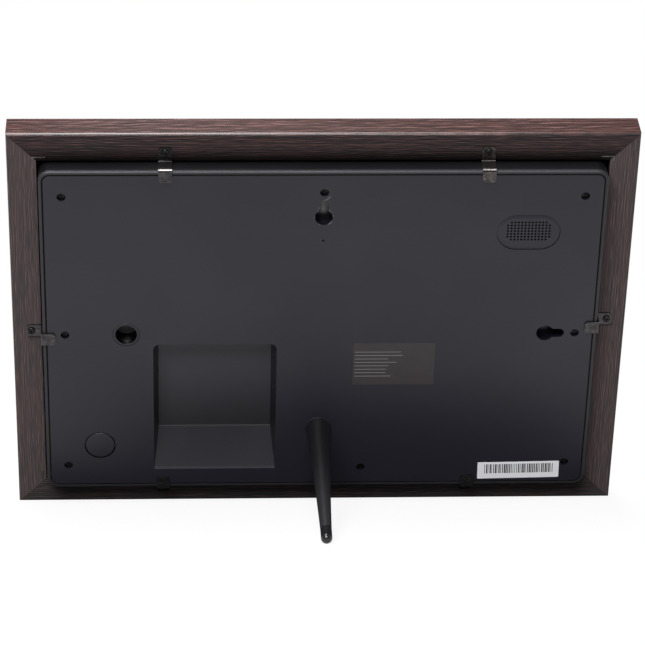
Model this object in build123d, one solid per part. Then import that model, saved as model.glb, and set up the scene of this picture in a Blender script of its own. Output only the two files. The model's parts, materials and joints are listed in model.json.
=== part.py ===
from build123d import *
import os
from math import asin, atan2, degrees, hypot

# A digital photo frame: a display module held in a mitred wood frame by bent clips,
# standing on a leg that screws into its rear cover.
# It is modelled upright and then leaned back until its rear edge and the leg's foot share one floor.
# Modelling axes: u to the right and v up as seen from behind, both from the display module's centre,
# and w out of the back from the wood's rear face. Lengths are millimetres.

# Display, the size that the rest is built round
display_width = 228.0
display_height = 148.0
panel_thickness = 1.4
view_width = 217.0
view_height = 135.6
view_margin = 2.0
guide_thickness = 2.5
guide_clearance = 0.2
tray_sheet = 0.5
display_clearance = 0.3

# Touch glass in front of it
glass_thickness = 1.1
glass_inset = 0.5

# Housing frame, the tray that carries display and cover
side_margin = 13.9
end_margin = 11.9
rim_width = 1.5
rim_round = 1.1
corner_radius = 5.3
flange_thickness = 1.5
fence_thickness = 1.0
ledge_width = 1.6
ledge_thickness = 1.5

# Wood rails
rail_width = 13.2
rail_depth = 15.6
lip_reach = 5.0
lip_thickness = 4.0
edge_round = 1.2
lip_round = 1.2
side_clearance = 0.9
seat_clearance = 0.4
head_clearance = 1.4
nail_offset = 1.9
nail_leg = 6.0
nail_thickness = 0.5
nail_depth = 8.0

# Rear cover
cover_thickness = 2.0
cover_round = 0.3
groove = 0.5
behind_display = 1.0

# Screws that hold the cover
screw_inset_u = 10.2
screw_inset_v = 12.9
top_screw_inset = 10.8
bottom_screw_inset = 10.7
bottom_screw_u = 20.5
cover_hole_radius = 2.0
cover_hole_depth = 3.0
cover_post_radius = 3.2
cover_post_end = 1.2
boss_radius = 2.6
boss_clearance = 0.3
cover_screw_head_radius = 1.75
cover_screw_head = 1.2
cover_screw_radius = 1.0
cover_screw_length = 8.0
screw_clearance = 0.05
shank_clearance = 0.2
cross_width = 0.5
cross_depth = 0.7
cross_share = 0.62

# Port pocket, a recess with leaning sides and a ramp at its lower end
pocket_inset_left = 50.6
pocket_inset_bottom = 10.4
pocket_width = 57.1
pocket_height = 70.0
pocket_depth = 10.0
pocket_side_lean = 2.3
pocket_ramp = 18.4
pocket_corner = 3.0
pocket_wall = 1.6

# Main board and the ports on its lower edge
board_gap = 0.8
board_behind = 3.1
board_thickness = 1.6
board_height = 48.0
board_overhang = 1.7
board_hole_inset = 3.5
board_post_radius = 2.4
board_screw_radius = 0.9
board_screw_head_radius = 1.7
board_screw_head = 1.1
board_screw_bite = 3.5
port_clearance = 0.3
jack_from_left = 11.0
jack_width = 8.0
jack_length = 11.0
jack_collar_radius = 2.6
jack_bore_radius = 1.9
jack_bore_depth = 9.0
jack_pin_radius = 0.55
port_pitch = 18.0
usb_width = 8.9
usb_height = 3.2
usb_length = 7.4
usb_wall = 0.35
usb_tongue_width = 6.7
usb_tongue_height = 0.7
usb_opening_depth = 6.2
card_width = 14.0
card_height = 1.9
card_length = 15.0
card_slot_width = 11.4
card_slot_height = 1.0
card_slot_depth = 13.0
shield_width = 22.0
shield_height = 20.0
shield_rise = 2.0
chip_width = 9.0
chip_height = 11.0
chip_rise = 1.0
chip_pitch = 13.0
chip_count = 2
flat_socket_depth = 4.0
flat_socket_rise = 1.6
flat_socket_wall = 1.0
lead_socket_width = 5.0
lead_socket_height = 5.0
lead_socket_pitch = 7.5

# Flat cables from the display and the touch layer
display_cable_width = 26.0
touch_cable_width = 8.0
cable_thickness = 0.2
cable_rise = 14.0
cable_bend = 1.0
cable_slope = 7.0
cable_clearance = 0.05

# Loudspeaker and its grille
grille_inset_right = 34.85
grille_inset_top = 31.8
grille_length = 29.0
grille_width = 18.2
grille_thickness = 1.2
grille_slope = 1.5
grille_drop = 0.35
grille_fit = 0.1
grille_ledge = 1.5
grille_row_pitch = 1.5
grille_column_pitch = 1.58
grille_hole_rise = 0.7
grille_hole_radius = 0.5
grille_columns = 13
grille_rows = 7
gasket_thickness = 0.8
gasket_band = 2.0
speaker_margin = 1.6
speaker_flange = 1.2
speaker_depth = 5.0
magnet_length = 15.0
magnet_width = 10.0
cone_dish = 0.5

# Wireless antenna, a strip stuck inside the cover
antenna_length = 42.0
antenna_width = 8.0
antenna_thickness = 0.3
antenna_inset_top = 12.0
antenna_u = 35.0

# Leads that run along the inside of the cover
lead_radius = 0.5
lead_bend = 6.0
speaker_lead_run = 48.0
speaker_lead_climb = 15.0
antenna_lead_run = 26.0
antenna_lead_climb = 12.0
antenna_lead_from_end = 3.0
button_lead_run = 22.0

# Keyholes for hanging the frame on a screw
keyhole_inset_top = 23.6
keyhole_inset_side = 24.0
keyhole_entry_radius = 4.05
keyhole_slot_radius = 2.25
keyhole_travel = 6.6
keyhole_head_room = 2.9
keyhole_head_side = 0.25
keyhole_head_depth = 3.6
keyhole_wall = 1.0
keyhole_corner = 3.0
pinhole_radius = 0.5
pinhole_below = 12.2

# Power button and the switch behind it
button_inset_left = 25.3
button_inset_bottom = 24.2
button_radius = 7.1
button_gap = 0.25
button_travel = 0.6
button_collar = 1.0
button_collar_thickness = 0.9
button_stem_radius = 1.8
button_seat = 0.05
button_edge = 0.25
switch_size = 6.0
switch_height = 3.4
plunger_radius = 1.6
plunger_clearance = 0.05
plunger_height = 1.4
plunger_rise = 0.9
button_board_width = 20.0
button_board_height = 20.0
button_board_thickness = 1.2
button_socket_depth = 6.0

# Leg and the two bushes that it screws into
leg_inset_bottom = 33.2
portrait_inset_left = 38.3
bush_radius = 6.1
bush_gap = 0.1
bush_bore_radius = 4.8
bush_length = 8.6
bush_boss_wall = 2.0
bush_floor = 1.2
stud_clearance = 0.05
stud_end_gap = 0.6
spigot_radius = 2.6
spigot_length = 12.0
leg_length = 89.0
leg_base_radius = 5.8
leg_waist_radius = 3.72
leg_tip_radius = 2.6
leg_seat = 0.1
foot_length = 9.0
foot_pin_radius = 1.4
foot_pin_length = 5.0

# Bent clips that hold the module in the wood, and their screws
clip_width = 6.1
clip_sheet = 0.8
clip_foot = 6.9
clip_tab = 5.9
clip_seat = 0.05
clip_corner = 1.6
clip_bend = 0.6
clip_screw_from_opening = 4.5
clip_screw_radius = 0.9
clip_screw_head_radius = 1.7
clip_screw_head = 0.9
clip_screw_round = 0.45
clip_screw_depth = 8.0
clip_hole_clearance = 0.3
top_left_clip_u = -71.2
top_right_clip_u = 73.7
bottom_left_clip_u = -73.1
bottom_right_clip_u = 71.5
left_clip_v = -2.1
right_clip_v = 3.1

# Outlines that follow from these
housing_width = display_width + 2 * side_margin
housing_height = display_height + 2 * end_margin
opening_width = housing_width + 2 * side_clearance
opening_height = housing_height + seat_clearance + head_clearance
wood_rise = (head_clearance - seat_clearance) / 2
frame_width = opening_width + 2 * rail_width
frame_height = opening_height + 2 * rail_width
inner_width = housing_width - 2 * rim_width
inner_height = housing_height - 2 * rim_width
inner_corner = corner_radius - rim_width
half_width = housing_width / 2
half_height = housing_height / 2

# Depths of the layers, from the wood's front lip to the rear cover
glass_front = lip_thickness - rail_depth
flange_front = glass_front + glass_thickness
flange_rear = flange_front + flange_thickness
panel_rear = flange_rear + panel_thickness
guide_rear = panel_rear + guide_thickness
tray_rear = guide_rear + tray_sheet
pocket_floor = tray_rear + behind_display + pocket_wall
cover_face = pocket_floor + pocket_depth
cover_inside = cover_face - cover_thickness
screw_seat = cover_face - cover_hole_depth
boss_top = screw_seat - cover_post_end
board_front = tray_rear + board_behind
board_rear = board_front + board_thickness

# Room between the board and the cover, which the jack fills and the leads run in
jack_height = cover_inside - board_rear - port_clearance
jack_middle = board_rear + jack_height / 2
lead_level = cover_inside - lead_radius - cable_clearance

# Stack behind the power button: stem, plunger, switch and board
button_rear = cover_inside - button_seat
stem_end = button_rear - button_collar_thickness - plunger_rise
switch_top = stem_end - plunger_rise
button_board_rear = switch_top - switch_height
button_board_front = button_board_rear - button_board_thickness

# Places on the cover
pocket_left = pocket_inset_left - half_width
pocket_right = pocket_left + pocket_width
pocket_bottom = pocket_inset_bottom - half_height
pocket_top = pocket_bottom + pocket_height
board_bottom = pocket_top + pocket_wall + board_gap
board_top = board_bottom + board_height
board_left = pocket_left - board_overhang
board_right = pocket_right + board_overhang
grille_u = half_width - grille_inset_right
grille_v = half_height - grille_inset_top
button_u = button_inset_left - half_width
button_v = button_inset_bottom - half_height
leg_v = leg_inset_bottom - half_height
portrait_v = 0.0
portrait_u = portrait_inset_left - half_width
keyhole_v = half_height - keyhole_inset_top
keyhole_u = half_width - keyhole_inset_side
leg_base = cover_face + leg_seat
leg_end = leg_base + leg_length
bush_inner_end = cover_face - bush_length
cover_screws_at = [
    (side * (half_width - screw_inset_u), level * (half_height - screw_inset_v))
    for side in (-1, 1) for level in (-1, 0, 1)
]
cover_screws_at += [(0, half_height - top_screw_inset)]
cover_screws_at += [(bottom_screw_u, bottom_screw_inset - half_height)]
board_screws_at = [
    (u, v)
    for u in (board_left + board_hole_inset, board_right - board_hole_inset)
    for v in (board_bottom + card_length + board_hole_inset, board_top - board_hole_inset)
]
button_post_u = button_board_width / 2 - board_post_radius
button_post_v = button_board_height / 2 - board_post_radius
button_posts_at = [(button_u + side * button_post_u, button_v + side * button_post_v) for side in (-1, 1)]
button_socket_bottom = button_v + button_board_height / 2
button_socket_top = button_socket_bottom + button_socket_depth


def rear(w):
    """Plane at depth w whose own axes are u and v."""
    return Plane(origin=(0, w, 0), x_dir=(-1, 0, 0), z_dir=(0, 1, 0))


def slab(profile, low, high):
    """Prism of a (u, v) profile between two depths."""
    return extrude(rear(low) * profile, amount=high - low, dir=(0, 1, 0))


def along_u(profile, low, high):
    """Prism of a (v, w) profile between two places across."""
    plane = Plane(origin=(-low, 0, 0), x_dir=(0, 0, 1), z_dir=(-1, 0, 0))
    return extrude(plane * profile, amount=high - low, dir=plane.z_dir)


def along_v(profile, low, high):
    """Prism of a (u, w) profile between two heights."""
    plane = Plane(origin=(0, 0, high), x_dir=(-1, 0, 0), z_dir=(0, 0, -1))
    return extrude(plane * profile, amount=high - low, dir=plane.z_dir)


def rod(u, v, radius, low, high):
    """Round bar along w."""
    return slab(Pos(u, v) * Circle(radius), low, high)


def turned(profile, u, v):
    """Solid turned about the line along w through (u, v), from a (radius, w) profile."""
    plane = Plane(origin=(-u, 0, v), x_dir=(-1, 0, 0), z_dir=(0, 0, -1))
    return revolve(plane * profile, Axis((-u, 0, v), (0, 1, 0)))


def block(left, right, bottom, top, low, high):
    """Box between two values of u, of v and of w."""
    middle = Pos((left + right) / 2, (bottom + top) / 2)
    return slab(middle * Rectangle(right - left, top - bottom), low, high)


def cross_recess(u, v, head_radius, head_top):
    """Cross cut of a screw's head."""
    arm = 2 * head_radius * cross_share
    cross = Rectangle(arm, cross_width) + Rectangle(cross_width, arm)
    return slab(Pos(u, v) * cross, head_top - cross_depth, head_top)


def rail(length, reach):
    """Mitred rail, with its outer face at the distance reach below the centre."""
    section = Polygon(
        (-reach, -rail_depth),
        (-reach + rail_width + lip_reach, -rail_depth),
        (-reach + rail_width + lip_reach, glass_front),
        (-reach + rail_width, glass_front),
        (-reach + rail_width, 0),
        (-reach, 0),
        align=None,
    )
    section = fillet(section.vertices().group_by(Axis.X)[0], edge_round)
    section = fillet(section.vertices().group_by(Axis.X)[-1].sort_by(Axis.Y)[0], lip_round)
    depth = rail_width + lip_reach
    mitred = Polygon(
        (-length / 2, -reach),
        (length / 2, -reach),
        (length / 2 - depth, depth - reach),
        (depth - length / 2, depth - reach),
        align=None,
    )
    return along_u(section, -length / 2, length / 2) & slab(mitred, -rail_depth, 0)


def corner_nail(side, level):
    """V-nail across one mitre, flush with the wood's rear face."""
    u = opening_width / 2 + nail_offset
    v = opening_height / 2 + nail_offset
    bent = Rectangle(nail_leg, nail_leg, align=(Align.MAX, Align.MAX))
    inside = nail_leg - nail_thickness
    bent -= Pos(-nail_thickness, -nail_thickness) * Rectangle(inside, inside, align=(Align.MAX, Align.MAX))
    bent = Pos(u, v) * bent
    if side < 0:
        bent = mirror(bent, Plane.YZ)
    if level < 0:
        bent = mirror(bent, Plane.XZ)
    return slab(bent, -nail_depth, 0)


def clip(reach, screw_v, along):
    """Bent clip on the lower rail: foot on the wood, riser up the housing, tab on the cover."""
    inner = reach + clip_seat
    outer = inner + clip_sheet
    top = cover_face + clip_sheet
    section = Polygon(
        (-inner + clip_tab, cover_face),
        (-inner + clip_tab, top),
        (-outer, top),
        (-outer, clip_sheet),
        (-outer - clip_foot, clip_sheet),
        (-outer - clip_foot, 0),
        (-inner, 0),
        (-inner, cover_face),
        align=None,
    )
    upper_bend = section.vertices().sort_by_distance((-outer, top))[0]
    section = fillet(upper_bend, clip_sheet + clip_bend / 2)
    foot_bend = section.vertices().sort_by_distance((-outer, clip_sheet))[0]
    section = fillet(foot_bend, clip_bend)
    bent = along_u(section, along - clip_width / 2, along + clip_width / 2)
    foot_corners = bent.edges().filter_by(Axis.Y).group_by(Axis.Z)[0]
    tab_corners = bent.edges().filter_by(Axis.Y).group_by(Axis.Z)[-1]
    bent = fillet(foot_corners + tab_corners, clip_corner)
    return bent - rod(along, screw_v, clip_screw_radius + clip_hole_clearance, 0, clip_sheet)


def clip_pilot(screw_v, along, radius):
    """Bore in the wood, or shank, of one clip's screw."""
    return rod(along, screw_v, radius, -clip_screw_depth, clip_sheet)


def clip_screw(screw_v, along):
    """Round-headed screw of one clip."""
    head_top = clip_sheet + clip_screw_head
    head = rod(along, screw_v, clip_screw_head_radius, clip_sheet, head_top)
    head = fillet(head.faces().sort_by(Axis.Y)[-1].edges(), clip_screw_round)
    shank = clip_pilot(screw_v, along, clip_screw_radius)
    return head + shank - cross_recess(along, screw_v, clip_screw_head_radius, head_top)


def turn(side):
    """Turn about w that carries the lower rail to another side."""
    quarter = {"bottom": 0, "right": 90, "top": 180, "left": 270}
    return Rot(0, quarter[side], 0)


def clip_spots():
    """Each clip's side, riser, gap to the wood and place along the lower rail turned to that side."""
    head_riser = half_height + wood_rise
    head_gap = head_clearance - wood_rise
    return {
        "clip_top_left": ("top", head_riser, head_gap, -top_left_clip_u),
        "clip_top_right": ("top", head_riser, head_gap, -top_right_clip_u),
        "clip_bottom_left": ("bottom", half_height, seat_clearance, bottom_left_clip_u),
        "clip_bottom_right": ("bottom", half_height, seat_clearance, bottom_right_clip_u),
        "clip_left": ("left", half_width, side_clearance, -left_clip_v),
        "clip_right": ("right", half_width, side_clearance, right_clip_v),
    }


def wood_frame():
    """Four rails, the nails across their mitres, the clips and the clips' screws."""
    rise = Pos(0, 0, wood_rise)
    nails = [rise * corner_nail(side, level) for side in (-1, 1) for level in (-1, 1)]
    rails = {
        "bottom": rise * rail(frame_width, frame_height / 2),
        "right": rise * turn("right") * rail(frame_height, frame_width / 2),
        "top": rise * turn("top") * rail(frame_width, frame_height / 2),
        "left": rise * turn("left") * rail(frame_height, frame_width / 2),
    }
    clips = {}
    screws = []
    for name, (side, reach, gap, along) in clip_spots().items():
        screw_v = -reach - gap - clip_screw_from_opening
        clips[name] = turn(side) * clip(reach, screw_v, along)
        screws.append(turn(side) * clip_screw(screw_v, along))
        rails[side] -= turn(side) * clip_pilot(screw_v, along, clip_screw_radius + screw_clearance)
    for side in rails:
        for nail in nails:
            rails[side] -= nail
    nodes = {f"{side}_rail": shape for side, shape in rails.items()}
    return nodes | {"corner_v_nails": group(nails)} | clips | {"clip_screws": group(screws)}


def group(solids):
    """Several separate solids as one node."""
    return Compound([shape.solid() for shape in solids])


def display_stack():
    """Glass, panel, light guide and the sheet tray behind them."""
    glass_outline = RectangleRounded(
        housing_width - 2 * glass_inset, housing_height - 2 * glass_inset, corner_radius - glass_inset
    )
    guide_width = display_width - 2 * (tray_sheet + guide_clearance)
    guide_height = display_height - 2 * (tray_sheet + guide_clearance)
    hollow = Rectangle(display_width - 2 * tray_sheet, display_height - 2 * tray_sheet)
    tray = slab(Rectangle(display_width, display_height), panel_rear, tray_rear)
    tray -= slab(hollow, panel_rear, guide_rear)
    return {
        "touch_glass": slab(glass_outline, glass_front, flange_front),
        "display_panel": slab(Rectangle(display_width, display_height), flange_rear, panel_rear),
        "light_guide": slab(Rectangle(guide_width, guide_height), panel_rear, guide_rear),
        "backlight_tray": tray,
    }


def housing_frame():
    """Moulded tray: rim, front flange, fence round the display, ledge and screw bosses."""
    outline = RectangleRounded(housing_width, housing_height, corner_radius)
    inner = RectangleRounded(inner_width, inner_height, inner_corner)
    window = Rectangle(view_width + 2 * view_margin, view_height + 2 * view_margin)
    seat = Rectangle(display_width + 2 * display_clearance, display_height + 2 * display_clearance)
    fence_width = display_width + 2 * (display_clearance + fence_thickness)
    fence_height = display_height + 2 * (display_clearance + fence_thickness)
    within_ledge = RectangleRounded(
        inner_width - 2 * ledge_width, inner_height - 2 * ledge_width, inner_corner - ledge_width
    )
    frame = slab(outline - inner, flange_front, cover_face)
    frame = fillet(frame.faces().sort_by(Axis.Y)[-1].outer_wire().edges(), rim_round)
    frame += slab(outline - window, flange_front, flange_rear)
    frame += slab(Rectangle(fence_width, fence_height) - seat, flange_rear, tray_rear)
    frame += slab(inner - within_ledge, cover_inside - ledge_thickness, cover_inside)
    for u, v in cover_screws_at:
        frame += rod(u, v, boss_radius, flange_rear, boss_top)
    frame -= slab(seat, flange_rear, tray_rear)
    pilot_end = screw_seat - cover_screw_length
    for u, v in cover_screws_at:
        frame -= rod(u, v, cover_screw_radius + screw_clearance, pilot_end, boss_top)
    return frame


def pocket(wall):
    """Room of the port pocket, grown all round by a wall."""
    side = Polygon(
        (pocket_top, cover_face),
        (pocket_top, pocket_floor),
        (pocket_bottom + pocket_ramp, pocket_floor),
        (pocket_bottom, cover_face),
        align=None,
    )
    across = Polygon(
        (pocket_left, cover_face),
        (pocket_left + pocket_side_lean, pocket_floor),
        (pocket_right - pocket_side_lean, pocket_floor),
        (pocket_right, cover_face),
        align=None,
    )
    if wall:
        side = offset(side, wall, kind=Kind.INTERSECTION)
        across = offset(across, wall, kind=Kind.INTERSECTION)
    room = along_u(side, -half_width, half_width) & along_v(across, -half_height, half_height)
    upper_corners = room.edges().filter_by(Axis.X, reverse=True).group_by(Axis.Z)[-1]
    return fillet(upper_corners, pocket_corner + wall)


def keyhole_outline():
    """Round entry with a slot leading from it."""
    slot = Pos(keyhole_travel / 2, 0) * SlotCenterToCenter(keyhole_travel, 2 * keyhole_slot_radius)
    return Circle(keyhole_entry_radius) + slot


def keyhole_cup(wall):
    """Outline of the room behind a keyhole, where the screw's head slides."""
    start = -keyhole_entry_radius - keyhole_head_side - wall
    end = keyhole_travel + keyhole_head_room + wall
    width = 2 * (keyhole_entry_radius + keyhole_head_side + wall)
    return Pos((start + end) / 2, 0) * RectangleRounded(end - start, width, keyhole_corner + wall)


def port_places():
    """Middle of each port across the board's lower edge."""
    first = pocket_left + jack_from_left
    return first, first + port_pitch, first + 2 * port_pitch


def rear_cover():
    """Moulded cover with its pocket, keyholes, sockets, posts and openings."""
    plate_width = inner_width - 2 * groove
    plate_height = inner_height - 2 * groove
    plate = slab(RectangleRounded(plate_width, plate_height, inner_corner - groove), cover_inside, cover_face)
    cover = fillet(plate.faces().sort_by(Axis.Y)[-1].edges(), cover_round)
    for u, v in cover_screws_at:
        cover += rod(u, v, cover_post_radius, boss_top, cover_inside)
    for u, v in ((0, leg_v), (portrait_u, portrait_v)):
        boss_end = bush_inner_end - bush_floor
        cover += rod(u, v, bush_radius + bush_gap + bush_boss_wall, boss_end, cover_inside)
    for u, v in board_screws_at:
        cover += rod(u, v, board_post_radius, board_rear, cover_inside)
    for u, v in button_posts_at:
        cover += rod(u, v, board_post_radius, button_board_rear, cover_inside)
    keyholes = (Pos(0, keyhole_v) * Rot(0, 0, 90), Pos(keyhole_u, 0))
    head_floor = cover_inside - keyhole_head_depth
    for place in keyholes:
        cover += slab(place * keyhole_cup(keyhole_wall), head_floor - keyhole_wall, cover_inside)
    shell = pocket(pocket_wall)
    cover += shell & slab(Rectangle(housing_width, housing_height), tray_rear, cover_inside)
    cover -= pocket(0)
    for place in keyholes:
        cover -= slab(place * keyhole_outline(), cover_inside, cover_face)
        cover -= slab(place * keyhole_cup(0), head_floor, cover_inside)
    for u, v in cover_screws_at:
        cover -= rod(u, v, boss_radius + boss_clearance, tray_rear, boss_top)
        cover -= rod(u, v, cover_hole_radius, screw_seat, cover_face)
        cover -= rod(u, v, cover_screw_radius + shank_clearance, boss_top, screw_seat)
    for u, v in ((0, leg_v), (portrait_u, portrait_v)):
        cover -= rod(u, v, bush_radius + bush_gap, bush_inner_end, cover_face)
    for u, v in board_screws_at:
        cover -= rod(u, v, board_screw_radius + screw_clearance, board_rear, board_rear + board_screw_bite)
    for u, v in button_posts_at:
        bite_end = button_board_rear + board_screw_bite
        cover -= rod(u, v, board_screw_radius + screw_clearance, button_board_rear, bite_end)
    grille_place = Pos(grille_u, grille_v)
    sound_opening = SlotOverall(grille_length - 2 * grille_ledge, grille_width - 2 * grille_ledge)
    cover -= slab(grille_place * sound_opening, cover_inside, cover_face)
    grille_seat = grille_place * SlotOverall(grille_length, grille_width)
    cover -= slab(grille_seat, cover_face - grille_thickness, cover_face)
    cover -= rod(button_u, button_v, button_radius + button_gap, cover_inside, cover_face)
    cover -= rod(0, keyhole_v - pinhole_below, pinhole_radius, cover_inside, cover_face)
    return cover - port_openings()


def port_openings():
    """Cut-outs for the ports in the pocket's upper wall."""
    jack_u, usb_u, card_u = port_places()
    low = pocket_top - pocket_wall
    high = pocket_top + 2 * pocket_wall
    collar = Circle(jack_collar_radius + port_clearance)
    cuts = along_v(Pos(jack_u, jack_middle) * collar, low, high)
    usb = Rectangle(usb_width + 2 * port_clearance, usb_height + 2 * port_clearance)
    cuts += along_v(Pos(usb_u, board_rear + usb_height / 2) * usb, low, high)
    card = Rectangle(card_slot_width + 2 * port_clearance, card_slot_height + 2 * port_clearance)
    return cuts + along_v(Pos(card_u, board_rear + card_height / 2) * card, low, high)


def cover_screw(u, v):
    """Cross-headed screw that holds the cover to a boss."""
    head_top = screw_seat + cover_screw_head
    screw = rod(u, v, cover_screw_head_radius, screw_seat, head_top)
    screw += rod(u, v, cover_screw_radius, screw_seat - cover_screw_length, screw_seat)
    return screw - cross_recess(u, v, cover_screw_head_radius, head_top)


def board_screw(u, v, front, rear_face):
    """Screw through a board into a post of the cover."""
    screw = rod(u, v, board_screw_head_radius, front - board_screw_head, front)
    return screw + rod(u, v, board_screw_radius, front, rear_face + board_screw_bite - screw_clearance)


def main_board():
    """Printed board with its shield, chips and sockets."""
    board = block(board_left, board_right, board_bottom, board_top, board_front, board_rear)
    shield_bottom = board_bottom + card_length + port_clearance + board_gap
    shield_left = board_left + 2 * board_hole_inset + board_gap
    board += block(
        shield_left, shield_left + shield_width, shield_bottom, shield_bottom + shield_height,
        board_rear, board_rear + shield_rise,
    )
    for place in range(chip_count):
        left = shield_left + shield_width + chip_pitch * place + board_gap
        board += block(
            left, left + chip_width, shield_bottom, shield_bottom + chip_height,
            board_rear, board_rear + chip_rise,
        )
    for u, width in flat_cables_at():
        reach = width / 2 + flat_socket_wall
        board += block(
            u - reach, u + reach, board_top - flat_socket_depth, board_top,
            board_rear, board_rear + flat_socket_rise,
        )
    for u, v, facing in lead_sockets_at():
        near = min(u, u - facing * lead_socket_width)
        board += block(
            near, near + lead_socket_width, v - lead_socket_height / 2, v + lead_socket_height / 2,
            board_rear, cover_inside - cable_clearance,
        )
    for u, v in board_screws_at:
        board -= rod(u, v, board_screw_radius + shank_clearance, board_front, board_rear)
    return board


def flat_cables_at():
    """Middle and width of the two flat cables."""
    middle = (board_left + board_right) / 2
    gap = 2 * flat_socket_wall + board_gap
    display_u = middle - (touch_cable_width + gap) / 2
    touch_u = middle + (display_cable_width + gap) / 2
    return (display_u, display_cable_width), (touch_u, touch_cable_width)


def lead_sockets_at():
    """Face, height and outward side of the sockets of loudspeaker, antenna and button."""
    middle = (board_bottom + board_top) / 2
    return (
        (board_right, middle, 1),
        (board_right, middle + lead_socket_pitch, 1),
        (board_left, middle, -1),
    )


def flat_cable(u, width):
    """Flat cable from the display's back, over the board's edge and into its socket."""
    low = tray_rear + cable_clearance + cable_thickness / 2
    high = board_rear + flat_socket_rise / 2
    start = board_top + cable_rise
    slope_end = board_top + cable_bend
    path = FilletPolyline(
        (start, low), (slope_end + cable_slope, low), (slope_end, high), (board_top, high), radius=cable_bend
    )
    return along_u(trace(path, cable_thickness), u - width / 2, u + width / 2)


def ports():
    """Jack, data port and card slot on the board's lower edge."""
    jack_u, usb_u, card_u = port_places()
    mouth = pocket_top
    behind_wall = pocket_top + pocket_wall + port_clearance
    jack = block(
        jack_u - jack_width / 2, jack_u + jack_width / 2, behind_wall, behind_wall + jack_length,
        board_rear, board_rear + jack_height,
    )
    jack_place = Pos(jack_u, jack_middle)
    bore_end = mouth + jack_bore_depth
    jack += along_v(jack_place * Circle(jack_collar_radius), mouth, behind_wall)
    jack -= along_v(jack_place * Circle(jack_bore_radius), mouth, bore_end)
    jack += along_v(jack_place * Circle(jack_pin_radius), mouth + jack_pin_radius, bore_end)
    usb_place = Pos(usb_u, board_rear + usb_height / 2)
    shell = RectangleRounded(usb_width, usb_height, usb_height / 2 - usb_wall)
    room_round = usb_height / 2 - 2 * usb_wall
    room = RectangleRounded(usb_width - 2 * usb_wall, usb_height - 2 * usb_wall, room_round)
    tongue = Rectangle(usb_tongue_width, usb_tongue_height)
    room_end = mouth + usb_opening_depth
    usb = along_v(usb_place * shell, mouth, mouth + usb_length)
    usb -= along_v(usb_place * room, mouth, room_end)
    usb += along_v(usb_place * tongue, mouth + usb_wall, room_end)
    card_place = Pos(card_u, board_rear + card_height / 2)
    card = along_v(card_place * Rectangle(card_width, card_height), behind_wall, behind_wall + card_length)
    slot = Rectangle(card_slot_width, card_slot_height)
    card -= along_v(card_place * slot, behind_wall, behind_wall + card_slot_depth)
    return {"dc_jack": jack, "usb_port": usb, "card_slot": card}


def sound():
    """Grille plate, foam gasket and the loudspeaker behind the cover."""
    place = Pos(grille_u, grille_v)
    outline = SlotOverall(grille_length - 2 * grille_fit, grille_width - 2 * grille_fit)
    grille = slab(place * outline, cover_face - grille_thickness, cover_face)
    face = grille.faces().sort_by(Axis.Y)[-1]
    grille = chamfer(face.edges(), grille_slope, grille_drop, reference=face)
    holes = []
    for row in range(grille_rows):
        end_row = row in (0, grille_rows - 1)
        columns = grille_columns - 2 if end_row else grille_columns
        level = place * Pos(0, grille_hole_rise + (row - (grille_rows - 1) / 2) * grille_row_pitch)
        spots = GridLocations(grille_column_pitch, 0, columns, 1)
        holes += [level * spot * Circle(grille_hole_radius) for spot in spots]
    grille -= slab(Sketch() + holes, cover_face - grille_thickness, cover_face)
    gasket_front = cover_inside - gasket_thickness
    frame_length = grille_length + 2 * speaker_margin
    frame_width_across = grille_width + 2 * speaker_margin
    ring = SlotOverall(frame_length, frame_width_across)
    ring_room = SlotOverall(frame_length - 2 * gasket_band, frame_width_across - 2 * gasket_band)
    gasket = slab(place * (ring - ring_room), gasket_front, cover_inside)
    speaker = slab(place * ring, gasket_front - speaker_flange, gasket_front)
    speaker -= slab(place * ring_room, gasket_front - cone_dish, gasket_front)
    magnet = RectangleRounded(magnet_length, magnet_width, gasket_band)
    speaker += slab(place * magnet, gasket_front - speaker_depth, gasket_front - speaker_flange)
    return {"speaker_grille": grille, "speaker_gasket": gasket, "speaker": speaker}


def antenna_strip():
    """Antenna stuck to the inside of the cover."""
    v = half_height - antenna_inset_top
    strip = Pos(antenna_u, v) * RectangleRounded(antenna_length, antenna_width, antenna_thickness)
    return slab(strip, cover_inside - antenna_thickness, cover_inside)


def lead(points):
    """Round lead along the inside of the cover, with rounded turns."""
    route = [rear(lead_level).from_local_coords((u, v, 0)) for u, v in points]
    path = FilletPolyline(*route, radius=lead_bend)
    start = Plane(origin=path @ 0, z_dir=path % 0)
    return sweep(start * Circle(lead_radius), path=path)


def leads():
    """Leads of the loudspeaker, the antenna and the button board."""
    speaker_socket, antenna_socket, button_socket = lead_sockets_at()
    speaker_end = grille_u - grille_length / 2 - speaker_margin
    speaker_lead = lead([
        (speaker_socket[0], speaker_socket[1]),
        (speaker_socket[0] + speaker_lead_run, speaker_socket[1]),
        (speaker_socket[0] + speaker_lead_run + speaker_lead_climb, grille_v),
        (speaker_end, grille_v),
    ])
    antenna_lead_u = antenna_u - antenna_length / 2 + antenna_lead_from_end
    antenna_edge = half_height - antenna_inset_top - antenna_width / 2
    antenna_lead = lead([
        (antenna_socket[0], antenna_socket[1]),
        (antenna_socket[0] + antenna_lead_run, antenna_socket[1]),
        (antenna_lead_u, antenna_socket[1] + antenna_lead_climb),
        (antenna_lead_u, antenna_edge),
    ])
    button_lead = lead([
        (button_socket[0], button_socket[1]),
        (button_socket[0] - button_lead_run, button_socket[1]),
        (button_u, portrait_v - bush_radius),
        (button_u, button_socket_top),
    ])
    return {"speaker_lead": speaker_lead, "antenna_lead": antenna_lead, "button_lead": button_lead}


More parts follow.
